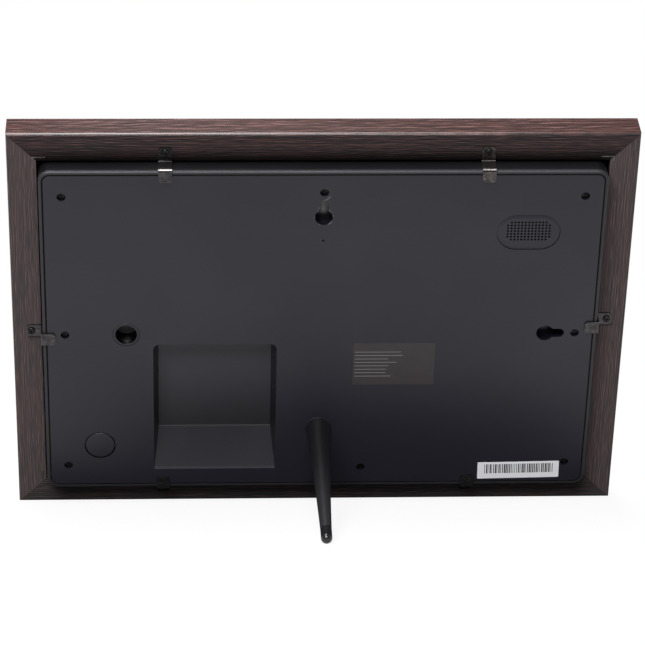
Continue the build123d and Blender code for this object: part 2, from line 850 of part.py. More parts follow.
def power_key():
    """Button, switch plunger, switch and the small board behind them."""
    u, v = button_u, button_v
    button = rod(u, v, button_radius, button_rear - button_collar_thickness, cover_face)
    button = fillet(button.faces().sort_by(Axis.Y)[-1].edges(), button_edge)
    button += rod(u, v, button_radius + button_collar, button_rear - button_collar_thickness, button_rear)
    button += rod(u, v, button_stem_radius, stem_end, button_rear)
    plunger = rod(u, v, plunger_radius, switch_top - plunger_height, stem_end)
    body = Pos(u, v) * RectangleRounded(switch_size, switch_size, plunger_height / 2)
    switch = slab(body, button_board_rear, switch_top)
    well_floor = switch_top - plunger_height - button_travel - plunger_clearance
    switch -= rod(u, v, plunger_radius + plunger_clearance, well_floor, switch_top)
    left = u - button_board_width / 2
    right = u + button_board_width / 2
    bottom = v - button_board_height / 2
    board = block(left, right, bottom, button_socket_top, button_board_front, button_board_rear)
    board += block(
        u - lead_socket_width / 2, u + lead_socket_width / 2, button_socket_bottom, button_socket_top,
        button_board_rear, cover_inside - cable_clearance,
    )
    hole_radius = board_screw_radius + shank_clearance
    for post_u, post_v in button_posts_at:
        board -= rod(post_u, post_v, hole_radius, button_board_front, button_board_rear)
    return {"power_button": button, "switch_plunger": plunger, "power_switch": switch, "button_board": board}


def bush(u, v):
    """Threaded bush that takes the leg."""
    bore = rod(u, v, bush_bore_radius, bush_inner_end, cover_face)
    return rod(u, v, bush_radius, bush_inner_end, cover_face) - bore


def leg():
    """Stud, tapered rod and rounded foot of the leg."""
    foot_start = leg_end - foot_length
    stud = rod(0, leg_v, bush_bore_radius - stud_clearance, bush_inner_end + stud_end_gap, leg_base)
    stud += rod(0, leg_v, spigot_radius, leg_base, leg_base + spigot_length)
    taper = ThreePointArc(
        (leg_base_radius, leg_base),
        (leg_waist_radius, leg_base + leg_length / 2),
        (leg_tip_radius, foot_start),
    )
    outline = Polyline(
        (leg_tip_radius, foot_start), (0, foot_start), (0, leg_base), (leg_base_radius, leg_base)
    )
    shaft = turned(make_face([taper, outline]), 0, leg_v)
    spigot_end = leg_base + spigot_length
    shaft -= rod(0, leg_v, spigot_radius + stud_clearance, leg_base, spigot_end + stud_clearance)
    shaft += rod(0, leg_v, foot_pin_radius, foot_start, foot_start + foot_pin_length)
    foot = rod(0, leg_v, leg_tip_radius, foot_start, leg_end - leg_tip_radius)
    foot += Pos(0, leg_end - leg_tip_radius, leg_v) * Sphere(leg_tip_radius)
    pin_end = foot_start + foot_pin_length
    foot -= rod(0, leg_v, foot_pin_radius + screw_clearance, foot_start, pin_end + screw_clearance)
    return {"leg_stud": stud, "leg_rod": shaft, "leg_foot": foot}


def lean_angle():
    """Lean at which the lower rail's rear edge and the leg's foot stand on one floor."""
    back = leg_end - leg_tip_radius + edge_round
    up = frame_height / 2 - wood_rise + leg_v - edge_round
    return degrees(atan2(up, back) - asin((leg_tip_radius - edge_round) / hypot(up, back)))


board_screw_group = [board_screw(u, v, board_front, board_rear) for u, v in board_screws_at]
board_screw_group += [board_screw(u, v, button_board_front, button_board_rear) for u, v in button_posts_at]

nodes = wood_frame() | display_stack()
nodes["housing_frame"] = housing_frame()
nodes["rear_cover"] = rear_cover()
nodes["cover_screws"] = group([cover_screw(u, v) for u, v in cover_screws_at])
nodes["main_board"] = main_board()
nodes["board_screws"] = group(board_screw_group)
nodes["flat_cables"] = group([flat_cable(u, width) for u, width in flat_cables_at()])
nodes |= ports() | sound() | leads() | power_key() | leg()
nodes["antenna"] = antenna_strip()
nodes["leg_bush"] = bush(0, leg_v)
nodes["portrait_bush"] = bush(portrait_u, portrait_v)

leaned = {name: Rot(-lean_angle(), 0, 0) * shape for name, shape in nodes.items()}
box = Compound([solid for shape in leaned.values() for solid in shape.solids()]).bounding_box()
to_origin = Pos(-(box.min.X + box.max.X) / 2, -(box.min.Y + box.max.Y) / 2, -box.min.Z)

os.makedirs("parts", exist_ok=True)
for name, shape in leaned.items():
    export_step(to_origin * shape, f"parts/{name}.step")
print(f"frame {frame_width:.2f} x {frame_height:.2f}, cover {cover_face:.2f}, lean {lean_angle():.3f}")
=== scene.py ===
import json
import math

import bpy
from mathutils import Matrix, Quaternion, Vector


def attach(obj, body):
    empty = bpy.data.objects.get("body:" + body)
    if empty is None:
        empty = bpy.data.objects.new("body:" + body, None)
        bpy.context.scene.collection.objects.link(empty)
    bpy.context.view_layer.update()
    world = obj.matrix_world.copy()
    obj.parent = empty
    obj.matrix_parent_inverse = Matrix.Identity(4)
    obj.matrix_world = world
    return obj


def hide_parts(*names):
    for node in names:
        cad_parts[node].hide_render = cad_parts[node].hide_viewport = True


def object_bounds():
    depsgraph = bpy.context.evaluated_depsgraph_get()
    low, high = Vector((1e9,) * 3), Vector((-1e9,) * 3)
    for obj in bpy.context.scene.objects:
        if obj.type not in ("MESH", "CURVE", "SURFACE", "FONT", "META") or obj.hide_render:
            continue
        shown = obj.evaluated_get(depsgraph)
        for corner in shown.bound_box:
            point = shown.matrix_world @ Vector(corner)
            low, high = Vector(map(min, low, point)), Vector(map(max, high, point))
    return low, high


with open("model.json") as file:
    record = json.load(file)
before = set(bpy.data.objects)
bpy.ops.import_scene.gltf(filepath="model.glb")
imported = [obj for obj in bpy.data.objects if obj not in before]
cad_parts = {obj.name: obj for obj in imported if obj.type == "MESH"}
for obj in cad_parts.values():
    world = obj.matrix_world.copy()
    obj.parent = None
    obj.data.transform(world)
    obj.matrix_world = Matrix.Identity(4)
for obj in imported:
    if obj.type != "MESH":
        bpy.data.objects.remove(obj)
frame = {"nodes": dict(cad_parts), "record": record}
cad_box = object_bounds()
bpy.ops.object.select_all(action="DESELECT")

MM = 0.001

# Directions of the leaning frame, seen from behind: across to the right, up its back and out of its back
keyhole = next(mount for mount in frame["record"]["mounts"] if mount["name"] == "top_keyhole")
OUT = Vector(keyhole["axis"]).normalized()
ACROSS = Vector((-1.0, 0.0, 0.0))
UP = OUT.cross(ACROSS)


def reach(node, axis):
    """Nearest and furthest distance of a CAD node along an axis."""
    places = [corner.co.dot(axis) for corner in frame["nodes"][node].data.vertices]
    return min(places), max(places)


def span(node, axis):
    """Size of a CAD node along an axis."""
    low, high = reach(node, axis)
    return high - low


# The frame's centre: on the wood's rear face, behind the display's middle
ORIGIN = UP * (sum(reach("touch_glass", UP)) / 2) + OUT * reach("top_rail", OUT)[1]


def middle_of(node):
    """Middle of a CAD node, across, up and out from the frame's centre."""
    return tuple(sum(reach(node, axis)) / 2 - ORIGIN.dot(axis) for axis in (ACROSS, UP, OUT))


# The wood's size, and how far its middle stands above the frame's centre
FRAME_WIDTH = span("top_rail", ACROSS)
FRAME_HEIGHT = span("left_rail", UP)
WOOD_RISE = middle_of("left_rail")[1]

# The rear cover: the height of its face over the wood, its wall, how far painted shade on walls takes to
# start below a face, and its joint with the housing, darkened with painted shade
COVER_FACE = reach("rear_cover", OUT)[1] - ORIGIN.dot(OUT)
COVER_WALL = 2.0 * MM
HOUSING_CORNER = 5.3 * MM
SEAM_INSET = 1.75 * MM
SEAM_SIDE = (0.30 * MM, 0.60 * MM)
WALL_START = 0.6 * MM

# The pocket in the cover, and how far up its floor painted light grows, lighter towards the top
POCKET_DEPTH = 10.0 * MM
POCKET_WIDTH = 57.1 * MM
POCKET_FROM_SIDE = 50.6 * MM
POCKET_FROM_FOOT = 80.4 * MM
POCKET_ACROSS = POCKET_FROM_SIDE + POCKET_WIDTH / 2 - span("rear_cover", ACROSS) / 2
POCKET_TOP = POCKET_FROM_FOOT - span("rear_cover", UP) / 2
POCKET_SHADE = 55.0 * MM
POCKET_FLOOR = (0.1 * MM, 0.4 * MM)

# The top keyhole, how far wear reaches beside its edge, and the part of its floor that shows in its neck,
# painted lighter as if lit
KEYHOLE_UP = Vector(keyhole["pos_m"]).dot(UP) - ORIGIN.dot(UP)
KEYHOLE_ENTRY_RADIUS = 4.05 * MM
KEYHOLE_NECK_RADIUS = 2.25 * MM
KEYHOLE_TRAVEL = 6.6 * MM
KEYHOLE_WEAR = (0.10 * MM, 0.40 * MM)
NECK_FLOOR_SIDE = (0.5 * MM, 1.4 * MM)
NECK_FLOOR_START = (-1.5 * MM, 1.5 * MM)
NECK_FLOOR_END = (8.0 * MM, 9.0 * MM)
HOLE_FLOOR_DEPTH = 1.5 * MM

# The scratch above the keyhole: its directions along and aside, its place, and its half width and length
SCRATCH_ALONG = (0.75, 0.66, 0.0)
SCRATCH_ASIDE = (0.66, -0.75, 0.0)
SCRATCH_MIDDLE = 7.6 * MM
SCRATCH_OFFSET = 6.2 * MM
SCRATCH_WIDTH = (0.08 * MM, 0.25 * MM)
SCRATCH_REACH = (1.2 * MM, 2.2 * MM)

# The clips' foot on the wood, and their rise beside the housing where the bend takes a painted highlight,
# out from the wood's back
CLIP_FOOT = (0.9 * MM, 1.5 * MM)
CLIP_RISE = (2.0 * MM, 6.0 * MM)

# Where painted light makes the leg's coat paler towards its foot, out from the wood's back
LEG_PAINTED_LIGHT = (30.0 * MM, 85.0 * MM)

# The screwed joint of the leg and its bushes
THREAD_PITCH = 1.25 * MM
THREAD_FLANK = 0.46
THREAD_STEPS = 48
THREAD_ROOT_LAP = 0.02 * MM
BUSH_BORE_RADIUS = 4.8 * MM
BUSH_CREST_RADIUS = 4.5 * MM
BUSH_MOUTH_ROUND = 0.25 * MM
STUD_CORE_RADIUS = 4.1 * MM
STUD_CREST_RADIUS = 4.44 * MM
STUD_TIP_BEVEL = 0.5 * MM
SPIGOT_RADIUS = 2.6 * MM
SPIGOT_LENGTH = 12.0 * MM
SPIGOT_BEVEL = 0.4 * MM
SPARE_BUSH = middle_of("portrait_bush")
SMOOTH_ANGLE = math.radians(35.0)

# The power button
BUTTON_SEAT = 0.05 * MM
BUTTON_COLLAR = 0.9 * MM
BUTTON_STEM_RADIUS = 1.8 * MM
BUTTON_STEM_BEVEL = 0.3 * MM
BUTTON_CAP_RADIUS = 6.85 * MM
BUTTON_RIM_ROUND = 0.45 * MM

# The display's visible area, and the soft start of the border round it
VIEW_WIDTH = 217.0 * MM
VIEW_HEIGHT = 135.6 * MM
BORDER_START = 0.15 * MM

# The label: its width and height, its middle across and up, and its ruled lines and their margins
FILM_THICKNESS = 0.12 * MM
LABEL_SIZE = (38.0 * MM, 23.0 * MM)
LABEL_MIDDLE = (34.3 * MM, -16.7 * MM)
LABEL_CORNER = 0.6 * MM
RULE_PITCH = 1.9 * MM
RULE_SIDE_MARGIN = 0.6 * MM
RULE_END_MARGIN = 3.4 * MM
RULE_SHORTEST = -4.0 * MM
RULE_SPREAD = 9.0 * MM

# The sticker: its width and height, its middle across and up, its turn, and its bars and their margins
STICKER_SIZE = (38.9 * MM, 9.3 * MM)
STICKER_MIDDLE = (95.9 * MM, -77.4 * MM)
STICKER_CORNER = 0.5 * MM
STICKER_TURN = math.radians(1.1)
BAR_PITCH = 0.85 * MM
BAR_SIDE_MARGIN = 3.0 * MM
BAR_TOP_MARGIN = 1.2 * MM
BAR_FOOT = -1.75 * MM
PRINT_EDGE = 0.1 * MM

# The wood's grain: the contrast of its fine lines, the share by which the next line is set off,
# and how far it sways on the rails' backs and on their outer faces
LINE_CONTRAST = 0.44
BESIDE_SHARE = 0.5
STRAIGHT_SWAY = 0.7 * MM
WAVY_SWAY = 1.6 * MM

# Where the wood's finish changes, out from its back or in from its outline; its rounded edge is paler with
# wear and a painted highlight, and its back takes painted shade towards the inner edge
BACK_BAND = (-0.9 * MM, -0.2 * MM)
MITRE_LINE = (0.08 * MM, 0.30 * MM)
EDGE_INSET = (-1.5 * MM, -1.0 * MM)
EDGE_LOW = (-1.6 * MM, -1.1 * MM)
EDGE_HIGH = (-0.45 * MM, -0.20 * MM)
PAINTED_INNER_SHADE = (-13.8 * MM, -4.8 * MM)


def laid(u, v, w, turn=0.0):
    """Matrix that places a piece modelled flat, across, up and out from the frame's centre."""
    axes = Matrix((ACROSS, UP, OUT)).transposed().to_4x4()
    turned = Matrix.Translation((u, v, w)) @ Matrix.Rotation(turn, 4, "Z")
    return Matrix.Translation(ORIGIN) @ axes @ turned


# Shading helpers


def wire(tree, node, sockets):
    """Sets or links a node's inputs by name or number."""
    for name, value in sockets.items():
        if isinstance(value, bpy.types.NodeSocket):
            tree.links.new(value, node.inputs[name])
        else:
            node.inputs[name].default_value = value


def shade(tree, kind, inputs=None, **settings):
    """One shader node, with its settings and inputs."""
    made = tree.nodes.new("ShaderNode" + kind)
    for name, value in settings.items():
        setattr(made, name, value)
    wire(tree, made, inputs or {})
    return made


def maths(tree, operation, first, second=0.0):
    """Result of one operation on values."""
    return shade(tree, "Math", {0: first, 1: second}, operation=operation).outputs[0]


def product(tree, first, *others):
    """Values multiplied together."""
    for other in others:
        first = maths(tree, "MULTIPLY", first, other)
    return first


def scaled(colour, share):
    """Colour made paler or darker."""
    return tuple(share * part for part in colour)


def mixed(tree, factor, first, second, blend="MIX"):
    """Mix of two colours, each linked or given as three numbers."""
    first, second = (
        colour if isinstance(colour, bpy.types.NodeSocket) else (*colour, 1.0) for colour in (first, second)
    )
    inputs = {0: factor, 6: first, 7: second}
    return shade(tree, "Mix", inputs, data_type="RGBA", blend_type=blend).outputs[2]


def fade(tree, value, low, high, bottom=0.0, top=1.0):
    """Value that goes smoothly from bottom to top between two marks."""
    marks = {"Value": value, "From Min": low, "From Max": high, "To Min": bottom, "To Max": top}
    return shade(tree, "MapRange", marks, interpolation_type="SMOOTHSTEP").outputs[0]


def fall(tree, value, low, high):
    """Value that goes smoothly from one to nothing between two marks."""
    return fade(tree, value, low, high, bottom=1.0, top=0.0)


def ramp(tree, factor, *stops):
    """Colour ramp of (place, colour) stops in rising order."""
    made = shade(tree, "ValToRGB", {"Fac": factor})
    elements = made.color_ramp.elements
    for number, (place, colour) in enumerate(stops):
        element = elements[number] if number < 2 else elements.new(place)
        element.position = place
        element.color = (*colour, 1.0)
    return made.outputs["Color"]


def noise(tree, vector, per_metre, detail=3.0, roughness=0.55, distortion=0.0):
    """Noise with so many spots to the metre, the same each way or different along each axis."""
    counts = per_metre if isinstance(per_metre, tuple) else (per_metre,) * 3
    inputs = {
        "Vector": shade(tree, "VectorMath", {0: vector, 1: counts}, operation="MULTIPLY").outputs[0],
        "Scale": 1.0,
        "Detail": detail,
        "Roughness": roughness,
        "Distortion": distortion,
    }
    return shade(tree, "TexNoise", inputs).outputs["Fac"]


def chance(tree, number):
    """Chance value between nothing and one for each whole number."""
    return shade(tree, "TexWhiteNoise", {"W": number}, noise_dimensions="1D").outputs["Value"]


def coordinates(tree, along=ACROSS):
    """Object coordinates from the frame's centre, with x along the given direction and z out."""
    axes = Matrix((along, OUT.cross(along), OUT)).transposed()
    place = shade(tree, "TexCoord").outputs["Object"]
    inputs = {"Vector": place, "Location": ORIGIN, "Rotation": axes.to_euler()}
    return shade(tree, "Mapping", inputs, vector_type="TEXTURE").outputs[0]


def split(tree, vector):
    """The three parts of a vector."""
    parts = shade(tree, "SeparateXYZ", {0: vector}).outputs
    return parts["X"], parts["Y"], parts["Z"]


def flat(tree, x, y):
    """Vector with no third part."""
    return shade(tree, "CombineXYZ", {"X": x, "Y": y}).outputs[0]


def length_of(tree, vector):
    """Length of a vector."""
    return shade(tree, "VectorMath", {0: vector}, operation="LENGTH").outputs["Value"]


def along_line(tree, vector, direction):
    """How far a vector goes in a direction."""
    inputs = {0: vector, 1: direction}
    return shade(tree, "VectorMath", inputs, operation="DOT_PRODUCT").outputs["Value"]


def bumped(tree, height, distance, strength):
    """Normal that follows fine heights."""
    inputs = {"Height": height, "Distance": distance, "Strength": strength}
    return shade(tree, "Bump", inputs).outputs[0]


def new_group(name, outputs):
    """Shader node group with named outputs: its tree, its vector input and its output node."""
    tree = bpy.data.node_groups.new(name, "ShaderNodeTree")
    tree.interface.new_socket("Vector", in_out="INPUT", socket_type="NodeSocketVector")
    for socket, kind in outputs.items():
        tree.interface.new_socket(socket, in_out="OUTPUT", socket_type="NodeSocket" + kind)
    vector = tree.nodes.new("NodeGroupInput").outputs["Vector"]
    return tree, vector, tree.nodes.new("NodeGroupOutput")


def placed_group(tree, group, vector):
    """A group set in a material, fed with coordinates."""
    made = tree.nodes.new("ShaderNodeGroup")
    made.node_tree = group
    tree.links.new(vector, made.inputs["Vector"])
    return made.outputs


def new_finish(name):
    """New material, its node tree and its shader."""
    finish = bpy.data.materials.new(name)
    finish.use_nodes = True
    return finish, finish.node_tree, finish.node_tree.nodes["Principled BSDF"]


# Effects that several finishes share


def grain_lines(tree, vector, along, lines_up, lines_out):
    """Fine lines along x, so many to the metre over y and z, each set off from the one beside it."""
    x, y, z = split(tree, vector)
    x = maths(tree, "MULTIPLY", x, along)
    over = maths(tree, "ADD", maths(tree, "MULTIPLY", y, lines_up), maths(tree, "MULTIPLY", z, lines_out))
    beside = maths(tree, "ADD", over, 1.0)
    parts = []
    for line, share in ((over, LINE_CONTRAST), (beside, LINE_CONTRAST * BESIDE_SHARE)):
        inputs = {"Vector": flat(tree, x, line), "Scale": 1.0, "Detail": 0.0}
        spots = shade(tree, "TexNoise", inputs, noise_dimensions="2D").outputs["Fac"]
        parts.append(maths(tree, "MULTIPLY", maths(tree, "SUBTRACT", spots, 0.5), share))
    return maths(tree, "ADD", maths(tree, "SUBTRACT", *parts), 0.5)


def wood_figure_group():
    """Dark open-grained veneer drawn along x: straight and fine over y, broader and wavy over z."""
    outputs = {"Color": "Color", "Roughness": "Float", "Height": "Float"}
    tree, vector, ending = new_group("wood_figure", outputs)
    drift = maths(tree, "SUBTRACT", noise(tree, vector, (11.0, 40.0, 40.0), detail=1.0), 0.5)
    ripple = maths(tree, "SUBTRACT", noise(tree, vector, (48.0, 190.0, 190.0), detail=1.0), 0.5)
    straight = maths(tree, "MULTIPLY", drift, STRAIGHT_SWAY)
    wavy = maths(tree, "MULTIPLY", maths(tree, "ADD", drift, ripple), WAVY_SWAY)
    swayed = shade(tree, "CombineXYZ", {"Y": straight, "Z": wavy}).outputs[0]
    vector = shade(tree, "VectorMath", {0: vector, 1: swayed}, operation="ADD").outputs[0]
    bands = noise(tree, vector, (16.0, 300.0, 160.0), detail=1.0)
    ridges = noise(tree, vector, (28.0, 4000.0, 1700.0), detail=0.0)
    lines = grain_lines(tree, vector, 24.0, 2100.0, 720.0)
    flecks = grain_lines(tree, vector, 120.0, 2500.0, 950.0)
    threads = grain_lines(tree, vector, 60.0, 2000.0, 700.0)
    pores = grain_lines(tree, vector, 200.0, 2300.0, 900.0)
    figure = maths(
        tree, "ADD", maths(tree, "MULTIPLY", lines, 0.45), maths(tree, "MULTIPLY", flecks, 0.55)
    )
    ground = ramp(
        tree, figure,
        (0.38, (0.0062, 0.0029, 0.0027)),
        (0.46, (0.0210, 0.0093, 0.0084)),
        (0.54, (0.0540, 0.0245, 0.0222)),
        (0.62, (0.1450, 0.0750, 0.0700)),
    )
    warm = fade(tree, bands, 0.40, 0.65, top=0.35)
    red = ramp(tree, figure, (0.38, (0.0130, 0.0044, 0.0036)), (0.62, (0.1200, 0.0450, 0.0375)))
    colour = mixed(tree, warm, ground, red)
    thread = fade(tree, threads, 0.56, 0.63, top=0.45)
    colour = mixed(tree, thread, colour, (0.0900, 0.0310, 0.0250))
    pits = maths(tree, "MULTIPLY", fade(tree, pores, 0.56, 0.64), 0.45)
    colour = mixed(tree, pits, colour, (0.0050, 0.0027, 0.0026))
    gloss = fade(tree, figure, 0.38, 0.62, bottom=0.60, top=0.48)
    wire(tree, ending, {"Color": colour, "Roughness": gloss, "Height": ridges})
    return tree


def moulded_group():
    """Spark-eroded surface of a moulding, with faint smudges and scattered dust."""
    outputs = {"Height": "Float", "Smudge": "Float", "Dust": "Float"}
    tree, vector, ending = new_group("moulded_surface", outputs)
    grain = noise(tree, vector, 2600.0, detail=2.0)
    smudge = noise(tree, vector, 14.0, detail=4.0, roughness=0.6, distortion=0.6)
    specks = shade(tree, "TexVoronoi", {"Vector": vector, "Scale": 420.0}, feature="F1")
    sparse = shade(tree, "SeparateColor", {0: specks.outputs["Color"]}).outputs[0]
    near = fall(tree, specks.outputs["Distance"], 0.05, 0.14)
    dust = maths(tree, "MULTIPLY", near, fade(tree, sparse, 0.90, 0.97))
    wire(tree, ending, {"Height": grain, "Smudge": smudge, "Dust": dust})
    return tree


def handled_metal_group():
    """Mottled plating with drawn scratches, and others slanted across them."""
    outputs = {"Mottle": "Float", "Scratch": "Float", "Height": "Float"}
    tree, vector, ending = new_group("handled_metal", outputs)
    mottle = noise(tree, vector, 520.0, detail=5.0, roughness=0.65)
    drawn = noise(tree, vector, (260.0, 7000.0, 7000.0), detail=2.0)
    slanted = shade(tree, "Mapping", {"Vector": vector, "Rotation": (0.0, 0.0, 0.7)}).outputs[0]
    crossed = noise(tree, slanted, (180.0, 6000.0, 6000.0), detail=1.0)
    scratch = maths(tree, "MAXIMUM", fade(tree, drawn, 0.60, 0.72), fade(tree, crossed, 0.66, 0.74))
    wire(tree, ending, {"Mottle": mottle, "Scratch": scratch, "Height": drawn})
    return tree


WOOD_FIGURE = wood_figure_group()
MOULDED = moulded_group()
HANDLED_METAL = handled_metal_group()


# Finishes


def wood_finish(name, along, painted_back_sheen, depth, inward_shade_share):
    """Veneered rail: figure along it, a back scaled by its depth and lifted by painted sheen, painted shade
    inwards, fine mitres and a polished edge paler with wear and a painted highlight.
    """
    finish, tree, shader = new_finish(name)
    figure = placed_group(tree, WOOD_FIGURE, coordinates(tree, along))
    across, up, out = split(tree, coordinates(tree))
    across = maths(tree, "ABSOLUTE", across)
    up = maths(tree, "ABSOLUTE", maths(tree, "SUBTRACT", up, WOOD_RISE))
    off_mitre = maths(tree, "SUBTRACT", across, up)
    off_mitre = maths(tree, "SUBTRACT", off_mitre, (FRAME_WIDTH - FRAME_HEIGHT) / 2)
    mitre = fade(tree, maths(tree, "ABSOLUTE", off_mitre), *MITRE_LINE, bottom=0.55, top=0.0)
    beyond_side = maths(tree, "SUBTRACT", across, FRAME_WIDTH / 2)
    beyond_end = maths(tree, "SUBTRACT", up, FRAME_HEIGHT / 2)
    outer = maths(tree, "MAXIMUM", beyond_side, beyond_end)
    back = fade(tree, out, *BACK_BAND)
    even = fade(tree, out, *BACK_BAND, bottom=0.28, top=0.0)
    # Painted shade on the back, growing towards the inner edge beside the housing
    inner = maths(tree, "MULTIPLY", fade(tree, outer, *PAINTED_INNER_SHADE, bottom=inward_shade_share, top=0.0), back)
    edge = product(
        tree, fade(tree, outer, *EDGE_INSET), fade(tree, out, *EDGE_LOW), fall(tree, out, *EDGE_HIGH)
    )
    colour = mixed(tree, even, figure["Color"], (0.0450, 0.0210, 0.0192))
    # Painted light on the back: scaled by the rail's depth and lifted by its painted sheen
    colour = mixed(tree, back, colour, (depth, depth, depth), "MULTIPLY")
    colour = mixed(tree, back, colour, painted_back_sheen, "ADD")
    colour = mixed(tree, inner, colour, (0.0004, 0.0003, 0.0003))
    colour = mixed(tree, mitre, colour, (0.030, 0.021, 0.019))
    # Rounded edge paler with wear and partly a painted highlight
    colour = mixed(tree, maths(tree, "MULTIPLY", edge, 0.20), colour, (0.080, 0.0490, 0.0460))
    wire(tree, shader, {
        "Base Color": colour,
        "Roughness": figure["Roughness"],
        "Normal": bumped(tree, figure["Height"], 0.10 * MM, 0.5),
        "Specular IOR Level": 0.06,
        "Coat Weight": fade(tree, edge, 0.0, 1.0, bottom=0.02, top=0.9),
        "Coat Roughness": 0.10,
    })
    return finish


def keyhole_scuffs(tree, vector):
    """Worn spots along the edge of the top keyhole and one scratch above it."""
    across, up, out = split(tree, vector)
    up = maths(tree, "SUBTRACT", up, KEYHOLE_UP)
    level = flat(tree, across, up)
    entry = maths(tree, "SUBTRACT", length_of(tree, level), KEYHOLE_ENTRY_RADIUS)
    along = maths(tree, "SUBTRACT", up, KEYHOLE_TRAVEL / 2)
    along = maths(tree, "SUBTRACT", maths(tree, "ABSOLUTE", along), KEYHOLE_TRAVEL / 2)
    beyond = flat(tree, across, maths(tree, "MAXIMUM", along, 0.0))
    neck = maths(tree, "SUBTRACT", length_of(tree, beyond), KEYHOLE_NECK_RADIUS)
    off_edge = maths(tree, "ABSOLUTE", maths(tree, "MINIMUM", entry, neck))
    worn = product(
        tree,
        fall(tree, off_edge, *KEYHOLE_WEAR),
        fade(tree, out, COVER_FACE - 0.5 * MM, COVER_FACE - 0.1 * MM),
        fade(tree, noise(tree, vector, 420.0, detail=2.0), 0.52, 0.62),
    )
    aside = maths(tree, "ADD", along_line(tree, level, SCRATCH_ASIDE), SCRATCH_OFFSET)
    ahead = maths(tree, "SUBTRACT", along_line(tree, level, SCRATCH_ALONG), SCRATCH_MIDDLE)
    scratch = product(
        tree,
        fall(tree, maths(tree, "ABSOLUTE", aside), *SCRATCH_WIDTH),
        fall(tree, maths(tree, "ABSOLUTE", ahead), *SCRATCH_REACH),
    )
    return maths(tree, "MAXIMUM", worn, scratch)


def recess_floors(tree, vector):
    """Masks of the pocket's floor, and of the floors under the keyhole's neck and the spare bush, which
    take painted light.
    """
    across, up, out = split(tree, vector)
    depth = maths(tree, "SUBTRACT", out, COVER_FACE - POCKET_DEPTH)
    deep = fall(tree, depth, *POCKET_FLOOR)
    aside = maths(tree, "ABSOLUTE", maths(tree, "SUBTRACT", across, POCKET_ACROSS))
    pocket = maths(tree, "MULTIPLY", deep, maths(tree, "LESS_THAN", aside, POCKET_WIDTH / 2))
    above = maths(tree, "SUBTRACT", up, KEYHOLE_UP)
    neck = product(
        tree,
        fall(tree, maths(tree, "ABSOLUTE", across), *NECK_FLOOR_SIDE),
        fade(tree, above, *NECK_FLOOR_START),
        fall(tree, above, *NECK_FLOOR_END),
    )
    beside = maths(tree, "SUBTRACT", across, SPARE_BUSH[0])
    over = maths(tree, "SUBTRACT", up, SPARE_BUSH[1])
    bush = maths(tree, "LESS_THAN", length_of(tree, flat(tree, beside, over)), BUSH_BORE_RADIUS)
    low = maths(tree, "LESS_THAN", out, COVER_FACE - HOLE_FLOOR_DEPTH)
    return pocket, maths(tree, "MULTIPLY", maths(tree, "MAXIMUM", neck, bush), low)


def cover_seam(tree, vector):
    """Mask of the painted shade in the joint between the rear cover and the housing's rim."""
    across, up = split(tree, vector)[:2]
    up = maths(tree, "SUBTRACT", up, middle_of("housing_frame")[1])
    inner_side = span("housing_frame", ACROSS) / 2 - HOUSING_CORNER
    inner_end = span("housing_frame", UP) / 2 - HOUSING_CORNER
    aside = maths(tree, "SUBTRACT", maths(tree, "ABSOLUTE", across), inner_side)
    above = maths(tree, "SUBTRACT", maths(tree, "ABSOLUTE", up), inner_end)
    beyond = flat(tree, maths(tree, "MAXIMUM", aside, 0.0), maths(tree, "MAXIMUM", above, 0.0))
    inward = maths(tree, "SUBTRACT", HOUSING_CORNER, length_of(tree, beyond))
    off_seam = maths(tree, "ABSOLUTE", maths(tree, "SUBTRACT", inward, SEAM_INSET))
    return fall(tree, off_seam, *SEAM_SIDE)


def plastic_finish(name, colour, rough, dust_share, shine, wall_top, wall_shade_tone, pocket_lit_tone=None):
    """Dark moulded plastic, finely textured, smudged and dusty, its walls smoother and darkened with
    painted shade; painted light on the pocket's and holes' floors, and painted shade in the seam with the
    housing.
    """
    finish, tree, shader = new_finish(name)
    vector = coordinates(tree)
    surface = placed_group(tree, MOULDED, vector)
    up, out = split(tree, vector)[1:]
    tone = mixed(tree, fade(tree, surface["Smudge"], 0.35, 0.70), colour, scaled(colour, 1.18))
    # Walls below the face darkened with painted shade
    wall = fall(tree, out, wall_top - WALL_START, wall_top)
    tone = mixed(tree, wall, tone, wall_shade_tone)
    if pocket_lit_tone:
        pocket_floor, painted_lit_hole_floor = recess_floors(tree, vector)
        # Painted light on the pocket's floor, growing lighter towards its top
        pocket_painted_light = fade(tree, up, POCKET_TOP - POCKET_SHADE, POCKET_TOP)
        pocket_floor_lit_tone = mixed(tree, pocket_painted_light, scaled(pocket_lit_tone, 0.6), scaled(pocket_lit_tone, 2.4))
        tone = mixed(tree, pocket_floor, tone, pocket_floor_lit_tone)
        # Painted light on the floors seen through the keyhole's neck and the spare bush
        tone = mixed(tree, painted_lit_hole_floor, tone, (0.160, 0.158, 0.165))
        wall = maths(tree, "SUBTRACT", wall, pocket_floor)
        scuffs = maths(tree, "MULTIPLY", keyhole_scuffs(tree, vector), 0.5)
        tone = mixed(tree, scuffs, tone, (0.30, 0.295, 0.29))
    dust = maths(tree, "MULTIPLY", surface["Dust"], dust_share)
    tone = mixed(tree, dust, tone, (0.05, 0.049, 0.047))
    # Painted shade in the joint between the cover and the housing's rim
    painted_seam_shade = cover_seam(tree, vector)
    tone = mixed(tree, painted_seam_shade, tone, (0.0006, 0.0006, 0.0007))
    gloss = fade(tree, surface["Smudge"], 0.30, 0.75, bottom=rough + 0.03, top=rough - 0.04)
    gloss = maths(tree, "SUBTRACT", gloss, maths(tree, "MULTIPLY", wall, 0.16))
    wire(tree, shader, {
        "Base Color": tone,
        "Roughness": maths(tree, "MAXIMUM", gloss, painted_seam_shade),
        "Normal": bumped(tree, surface["Height"], 0.02 * MM, 0.35),
        "Specular IOR Level": shine,
    })
    return finish


